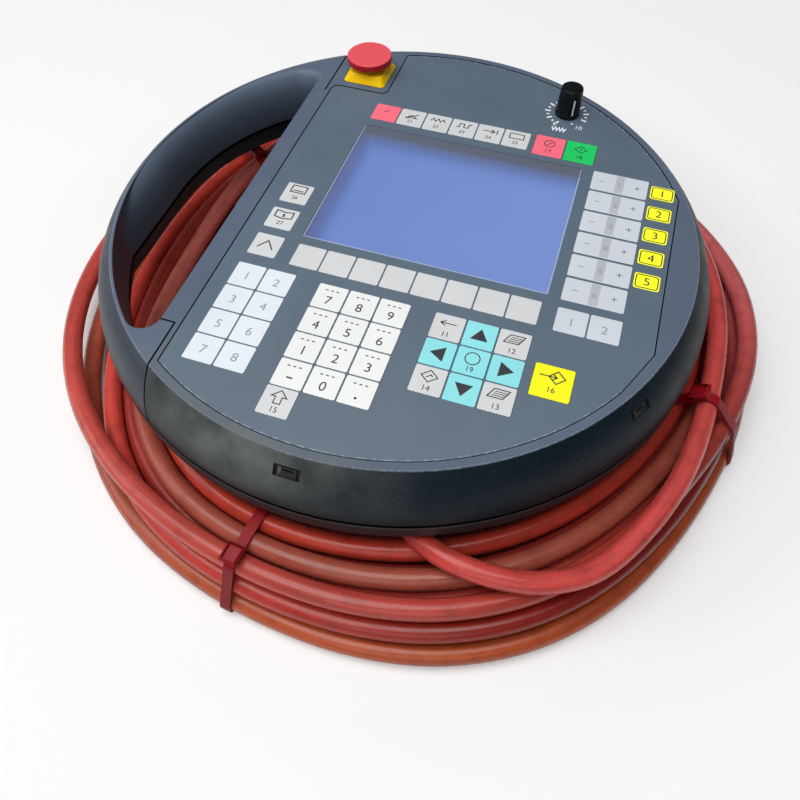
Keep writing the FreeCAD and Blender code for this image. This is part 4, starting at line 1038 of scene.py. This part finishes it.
# %% Print the function and menu keys
MENU_RIGHT, ROW_FRONT = -0.045, 0.05     # the menu column lies left of one, the row behind the other
SIGN_SCALE = 1.3
menu_fields = sorted((spot for spot in function_fields if spot.x < MENU_RIGHT), key=lambda spot: -spot.y)
row_fields = [spot for spot in function_fields if spot.y > ROW_FRONT]
for spot, draw in zip(row_fields[1:] + menu_fields, ROW_SIGNS + MENU_SIGNS):
    printed("function_sign_" + draw.__name__, "housing", spot, INK_DARK, draw, SIGN_SCALE)
printed("function_sign_slash", "housing", row_fields[0], INK_WINE,
        lambda bm: stroke(bm, [(-1.4, 0.4), (1.4, 2.8)]))
for count, spot in enumerate(row_fields[1:] + menu_fields[:2], 21):
    printed(f"function_code_{count}", "housing", spot, INK_DARK, number(str(count), 3.2, -3.0))
print("function row:", len(row_fields), "menu column:", len(menu_fields))

# %% Numbers on the user, axis and auxiliary keys
STRIP_BAND_W, STRIP_BAND_H = 4.0, 12.4   # the grey band in the middle of an axis strip
PAIR_BACK = -0.03        # the auxiliary pair lies in front of this


def axis_band(bm):
    shape(bm, [(x * STRIP_BAND_W / 2, y * STRIP_BAND_H / 2) for x, y in ((-1, -1), (1, -1), (1, 1), (-1, 1))])


def minus_plus(bm):
    stroke(bm, [(-9.6, 0), (-7.2, 0)], BOLD_W)
    stroke(bm, [(7.0, 0), (9.8, 0)], BOLD_W)
    stroke(bm, [(8.4, -1.4), (8.4, 1.4)], BOLD_W)


def number_fields(name, fields):
    for count, spot in enumerate(fields, 1):
        printed(f"{name}_number_{count}", "housing", spot, INK_BLUE, number(str(count), 6.0))


strips = [spot for spot in axis_fields if spot.y > PAIR_BACK]
pair = [spot for spot in axis_fields if spot.y <= PAIR_BACK]
number_fields("user", user_fields)
for count, spot in enumerate(strips, 1):
    printed(f"axis_band_{count}", "housing", spot, INK_BAND, axis_band)
    printed(f"axis_number_{count}", "housing", spot + ON_PRINT, INK_BLUE, number(str(count), 4.6))
    printed(f"axis_sign_{count}", "housing", spot, INK_BLUE, minus_plus)
number_fields("pair", pair)
print("strips:", len(strips), "pair:", len(pair))

# %% [markdown]
# ### Yellow labels and the knob's scale
# Five labels in fluorescent yellow, with a dark frame, stand beside the axis strips. Round the knob the
# foil carries white ticks, long and short by turns. They leave the front open for a small zigzag and two
# plain numbers. A white line on the knob shows where it points, and the pane has a thin pale line along
# three of its edges, a painted highlight where its edge catches the light. The helpers of the keys make
# these prints too. Only the line on the knob is a small block, because it stands upright.

# %% Labels beside the strips
LABEL_W, LABEL_H, LABEL_CORNER = 11.1, 9.2, 1.2
FRAME_INSET = 0.8        # from the label's edge to the middle of its frame
LABEL_X = 112.35
LABELS = 5
FOIL_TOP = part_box("keypad_foil")[1].z


def rounded_box(width, height, corner):
    points = []
    for x, y, start in ((1, 1, 0), (-1, 1, 90), (-1, -1, 180), (1, -1, 270)):
        for turn in (0, 30, 60, 90):
            right, up = polar(corner, start + turn)
            points.append((x * (width / 2 - corner) + right, y * (height / 2 - corner) + up))
    return points


def label_field(bm):
    shape(bm, rounded_box(LABEL_W, LABEL_H, LABEL_CORNER))


def label_frame(text):
    def draw(bm):
        width, height = LABEL_W - 2 * FRAME_INSET, LABEL_H - 2 * FRAME_INSET
        stroke(bm, rounded_box(width, height, LABEL_CORNER), BOLD_W, True)
        write(bm, text, 0, -0.2, 6.4)
    return draw


for count, strip in enumerate(strips[:LABELS], 1):
    spot = Vector((LABEL_X * MM, strip.y, FOIL_TOP))
    printed(f"label_{count}", "housing", spot, LABEL_YELLOW, label_field)
    printed(f"label_frame_{count}", "housing", spot + ON_PRINT, INK_DARK, label_frame(str(count)))
print("labels at x", LABEL_X)

# %% Scale round the knob
SCALE_FROM, SCALE_TO = -20, 249          # degrees of the first and the last tick
TICKS = 17
LONG_TICK, SHORT_TICK = (8.5, 11.5), (9.3, 10.7)     # distances of a tick's ends from the knob's middle


def knob_scale(bm):
    for tick in range(TICKS):
        angle = SCALE_FROM + (SCALE_TO - SCALE_FROM) * tick / (TICKS - 1)
        ends, width = ((SHORT_TICK, 0.9) if tick % 2 else (LONG_TICK, 1.05))
        stroke(bm, [polar(radius, angle) for radius in ends], width)
    stroke(bm, [(-5.2 + 0.9 * i, -14.4 + 1.3 * (-1) ** i) for i in range(9)], 0.7)
    write(bm, "0", -4.4, -10.7, 4.0)
    write(bm, "10", 7.8, -10.4, 4.0)
    shape(bm, [(4.1 + x, -8.0 + y) for x, y in ring_points(0.55, 12)])


knob_at = top_of("override_knob")
knob_at.z = FOIL_TOP
printed("knob_scale", "housing", knob_at, INK_PALE, knob_scale)
print("knob at", [round(c / MM, 1) for c in knob_at])

# %% Line on the knob
POINTER_AT = -60         # degrees
POINTER_SIDE = ((6.15, 2.7), (5.85, 11.0), (5.5, 11.0), (5.8, 2.7))  # distance and height of its corners
POINTER_HALF_W = 0.4
POINTER_FACES = [(0, 1, 3, 2), (2, 3, 5, 4), (4, 5, 7, 6), (6, 7, 1, 0), (0, 2, 4, 6), (1, 7, 5, 3)]
toward, aside = directions(POINTER_AT)
corners = [knob_at + (toward * r + aside * s + Vector((0, 0, z))) * MM
           for r, z in POINTER_SIDE for s in (-POINTER_HALF_W, POINTER_HALF_W)]
pointer_mesh = bpy.data.meshes.new("knob_pointer")
pointer_mesh.from_pydata([tuple(corner) for corner in corners], [], POINTER_FACES)
pointer_mesh.materials.append(INK_PALE)
pointer = add_object("knob_pointer", pointer_mesh)
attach(pointer, BODY_OF["override_knob"])
print("pointer corners:", len(corners))

# %% Painted highlight along the pane's edges
PANE_LINE_INSET = 0.5    # millimetres from the foil's edge


def pane_line(bm):
    hidden = PANE_EDGE / MM + PANE_LINE_INSET
    left, right = pane_low.x / MM + hidden, pane_high.x / MM - hidden
    front, back = pane_low.y / MM + hidden, pane_high.y / MM - hidden
    stroke(bm, [(left, back), (left, front), (right, front), (right, back)], 0.35)


# A thin pale print along three edges of the pane: a painted highlight.
printed("pane_line", "housing", Vector((0, 0, pane_high.z)), INK_BAND, pane_line)
print("line on the pane at z", round(pane_high.z / MM, 2))

# %% [markdown]
# ## Ties
# Plastic ties hold the turns together. Each one is a strap pulled tight round whatever strands pass
# there, with a small block where the strap is locked. A ring drawn by hand could cut into some strand, so
# the strap's line is worked out: it is the convex outline round the cross-sections of the strands.

# %% Strands at an angle
TIES = ((-97.0, 160.0), (-12.0, 150.0), (148.0, 150.0))      # angle of each tie and radius of its lock
path = bpy.data.curves.new("path", "CURVE")
lay_spline(path, 1.0)
walker = bpy.data.objects.new("path", path)
cable_line = [corner.co.copy() for corner in walker.to_mesh().vertices]
walker.to_mesh_clear()
bpy.data.objects.remove(walker)


def strands_at(angle):
    """Radius and height of each strand that crosses an upright plane through the middle."""
    way, side = directions(angle)
    found = []
    for a, b in zip(cable_line, cable_line[1:]):
        if a.dot(side) < 0 <= b.dot(side) and a.dot(way) > 0:
            spot = a.lerp(b, a.dot(side) / (a.dot(side) - b.dot(side)))
            found.append(Vector((spot.dot(way), spot.z)))
    return found


print("strands at the ties:", [len(strands_at(angle)) for angle, radius in TIES])

# %% Outline round the strands
def turns_right(first, second, third):
    """Whether the way over three points goes straight on or turns to the right."""
    return ((second[0] - first[0]) * (third[1] - first[1])
            - (second[1] - first[1]) * (third[0] - first[0])) <= 0


def tight_outline(spots, reach):
    """Convex outline round circles of that reach at the spots, run round once."""
    circle = [polar(reach, degrees) for degrees in range(0, 360, 10)]
    rim = sorted({(round(spot.x + x, 4), round(spot.y + y, 4)) for spot in spots for x, y in circle})
    outline = []
    for run in (rim, rim[::-1]):
        chain = []
        for point in run:
            while len(chain) > 1 and turns_right(chain[-2], chain[-1], point):
                chain.pop()
            chain.append(point)
        outline += chain[:-1]
    return [Vector(point) for point in outline]


print("corners of one strand's outline:", len(tight_outline([Vector((0, 0))], CABLE_R)))

# %% Strap
TIE_W, TIE_T, TIE_GAP = 4.8, 1.2, 0.1
INNER_LOW, OUTER_LOW = 0.12, 0.02        # lowest height of the strap's two sides, pressed flat on the floor


def stood_up(spot, across, angle, lowest):
    """A spot of an outline, put into the upright plane at an angle and moved across that plane."""
    way, side = directions(angle)
    return (way * spot.x + side * across + Vector((0, 0, max(lowest, spot.y)))) * MM


def strap(bm, inner, outer, angle):
    sides = ((inner, -1, INNER_LOW), (outer, -1, OUTER_LOW), (outer, 1, OUTER_LOW), (inner, 1, INNER_LOW))
    rings = [[bm.verts.new(stood_up(spot, across * TIE_W / 2, angle, lowest)) for spot in outline]
             for outline, across, lowest in sides]
    for first, second in zip(rings, rings[1:] + rings[:1]):
        for i in range(len(first)):
            j = (i + 1) % len(first)
            bm.faces.new((first[i], first[j], second[j], second[i]))


print("strap of", TIE_W, "by", TIE_T, "mm")

# %% Lock of a strap
LOCK_L, LOCK_W, LOCK_T = 6.6, 6.0, 4.6
LOCK_OUT = 0.38          # share of its thickness by which the block's middle stands out of the strap
LOCK_ABOVE = 12          # the lock sits higher than this
WINDOW_EDGE, WINDOW_DEPTH = 1.5, 1.3


def lock(bm, outer, angle, radius):
    """Block with a sunk window, on the upper part of the outline nearest to a radius."""
    at = min((spot for spot in outer if spot.y > LOCK_ABOVE), key=lambda spot: abs(spot.x - radius))
    k = outer.index(at)
    along = (outer[(k + 1) % len(outer)] - outer[k - 1]).normalized()
    out = Vector((along.y, -along.x))
    block = bmesh.ops.create_cube(bm, size=1.0)["verts"]
    for corner in block:
        u, v, w = corner.co
        spot = at + along * u * LOCK_L + out * (w + LOCK_OUT) * LOCK_T
        corner.co = stood_up(spot, v * LOCK_W, angle, OUTER_LOW)
    outwards = directions(angle)[0] * out.x + Vector((0, 0, out.y))
    faces = {face for corner in block for face in corner.link_faces}
    window = max(faces, key=lambda face: face.calc_center_median().dot(outwards))
    bmesh.ops.inset_individual(bm, faces=[window], thickness=WINDOW_EDGE * MM)
    bmesh.ops.translate(bm, verts=list(window.verts), vec=outwards * -WINDOW_DEPTH * MM)


print("lock of", LOCK_L, "by", LOCK_W, "by", LOCK_T, "mm")

# %% Ties round the coil
def tie(count, angle, lock_radius):
    strands = strands_at(angle)
    inner = tight_outline(strands, CABLE_R + TIE_GAP)
    outer = tight_outline(strands, CABLE_R + TIE_GAP + TIE_T)
    bm = bmesh.new()
    strap(bm, inner, outer, angle)
    lock(bm, outer, angle, lock_radius)
    bmesh.ops.recalc_face_normals(bm, faces=bm.faces)
    mesh = mesh_from(bm, f"cable_tie_{count}")
    mesh.materials.append(TIE_RED)
    piece = add_object(f"cable_tie_{count}", mesh)
    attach(piece, "housing")
    return piece


ties = [tie(count, angle, radius) for count, (angle, radius) in enumerate(TIES, 1)]
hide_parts("cable_ties")
print("ties:", [piece.name for piece in ties])

# %% [markdown]
# ## Studio
# The object lies on a wide white floor under three large soft lamps and an even pale sky. A brighter sky
# could turn the floor white, but it would also wash out the object. So away from the object, part of what
# the camera and the glossy surfaces see of the floor is plain white. It adds to nothing but reflections,
# and the object's soft shadow stays.

# %% Floor
FLOOR = 6.0              # half a side, in metres
FLOOR_Z = -0.0002        # just below the coil
WHITE_FROM, WHITE_TO = 0.15, 0.25        # distances over which the plain white sets in
WHITE_SHARE = 0.58


def floor_finish():
    finish = Finish("studio_floor")
    finish.set("Base Color", finish.blend(finish.cloud(3), (0.86, 0.86, 0.86, 1), (0.88, 0.88, 0.88, 1)))
    finish.set("Roughness", 0.9)
    glow = finish.node("ShaderNodeEmission", {"Color": (1, 1, 1, 1), "Strength": 1.0})
    rays = finish.node("ShaderNodeLightPath").outputs
    seen = finish.reckon("MAXIMUM", rays["Is Camera Ray"], rays["Is Glossy Ray"])
    share = finish.times(seen, finish.spread(finish.distance(), 0.0, WHITE_SHARE, WHITE_FROM, WHITE_TO))
    mix = finish.node("ShaderNodeMixShader", {0: share, 1: finish.shader.outputs[0], 2: glow.outputs[0]})
    finish.feed(finish.tree.nodes["Material Output"].inputs["Surface"], mix.outputs[0])
    return finish.material


ground = bpy.data.meshes.new("floor")
floor_corners = [(x * FLOOR, y * FLOOR, FLOOR_Z) for x, y in ((-1, -1), (1, -1), (1, 1), (-1, 1))]
ground.from_pydata(floor_corners, [], [(0, 1, 2, 3)])
ground.materials.append(floor_finish())
floor = add_object("floor", ground)
print("floor side in metres:", 2 * FLOOR)

# %% Lamps and sky
LAMPS_AIM = Vector((0, 0, 0.05))


def soft_lamp(name, at, size, power):
    lamp = bpy.data.lights.new(name, "AREA")
    lamp.shape = "SQUARE"
    lamp.size = size
    lamp.energy = power
    thing = add_object(name, lamp)
    thing.location = at
    thing.rotation_euler = (LAMPS_AIM - Vector(at)).to_track_quat("-Z", "Y").to_euler()


soft_lamp("lamp_over", (-0.2, -0.2, 1.25), 1.1, 16.0)
soft_lamp("lamp_front", (0.25, -1.15, 0.7), 0.8, 2.6)
soft_lamp("lamp_left", (-1.05, -0.35, 0.65), 0.7, 3.0)
sky = bpy.data.worlds.new("studio_sky")
bpy.context.scene.world = sky
sky.use_nodes = True
sky_light = sky.node_tree.nodes["Background"].inputs
sky_light["Color"].default_value = (1, 1, 1, 1)
sky_light["Strength"].default_value = 0.09
print("lamps:", len(bpy.data.lights))

# %% [markdown]
# ## Finish
# The prints and the loose turns may reach a little past the CAD, but only by millimetres.
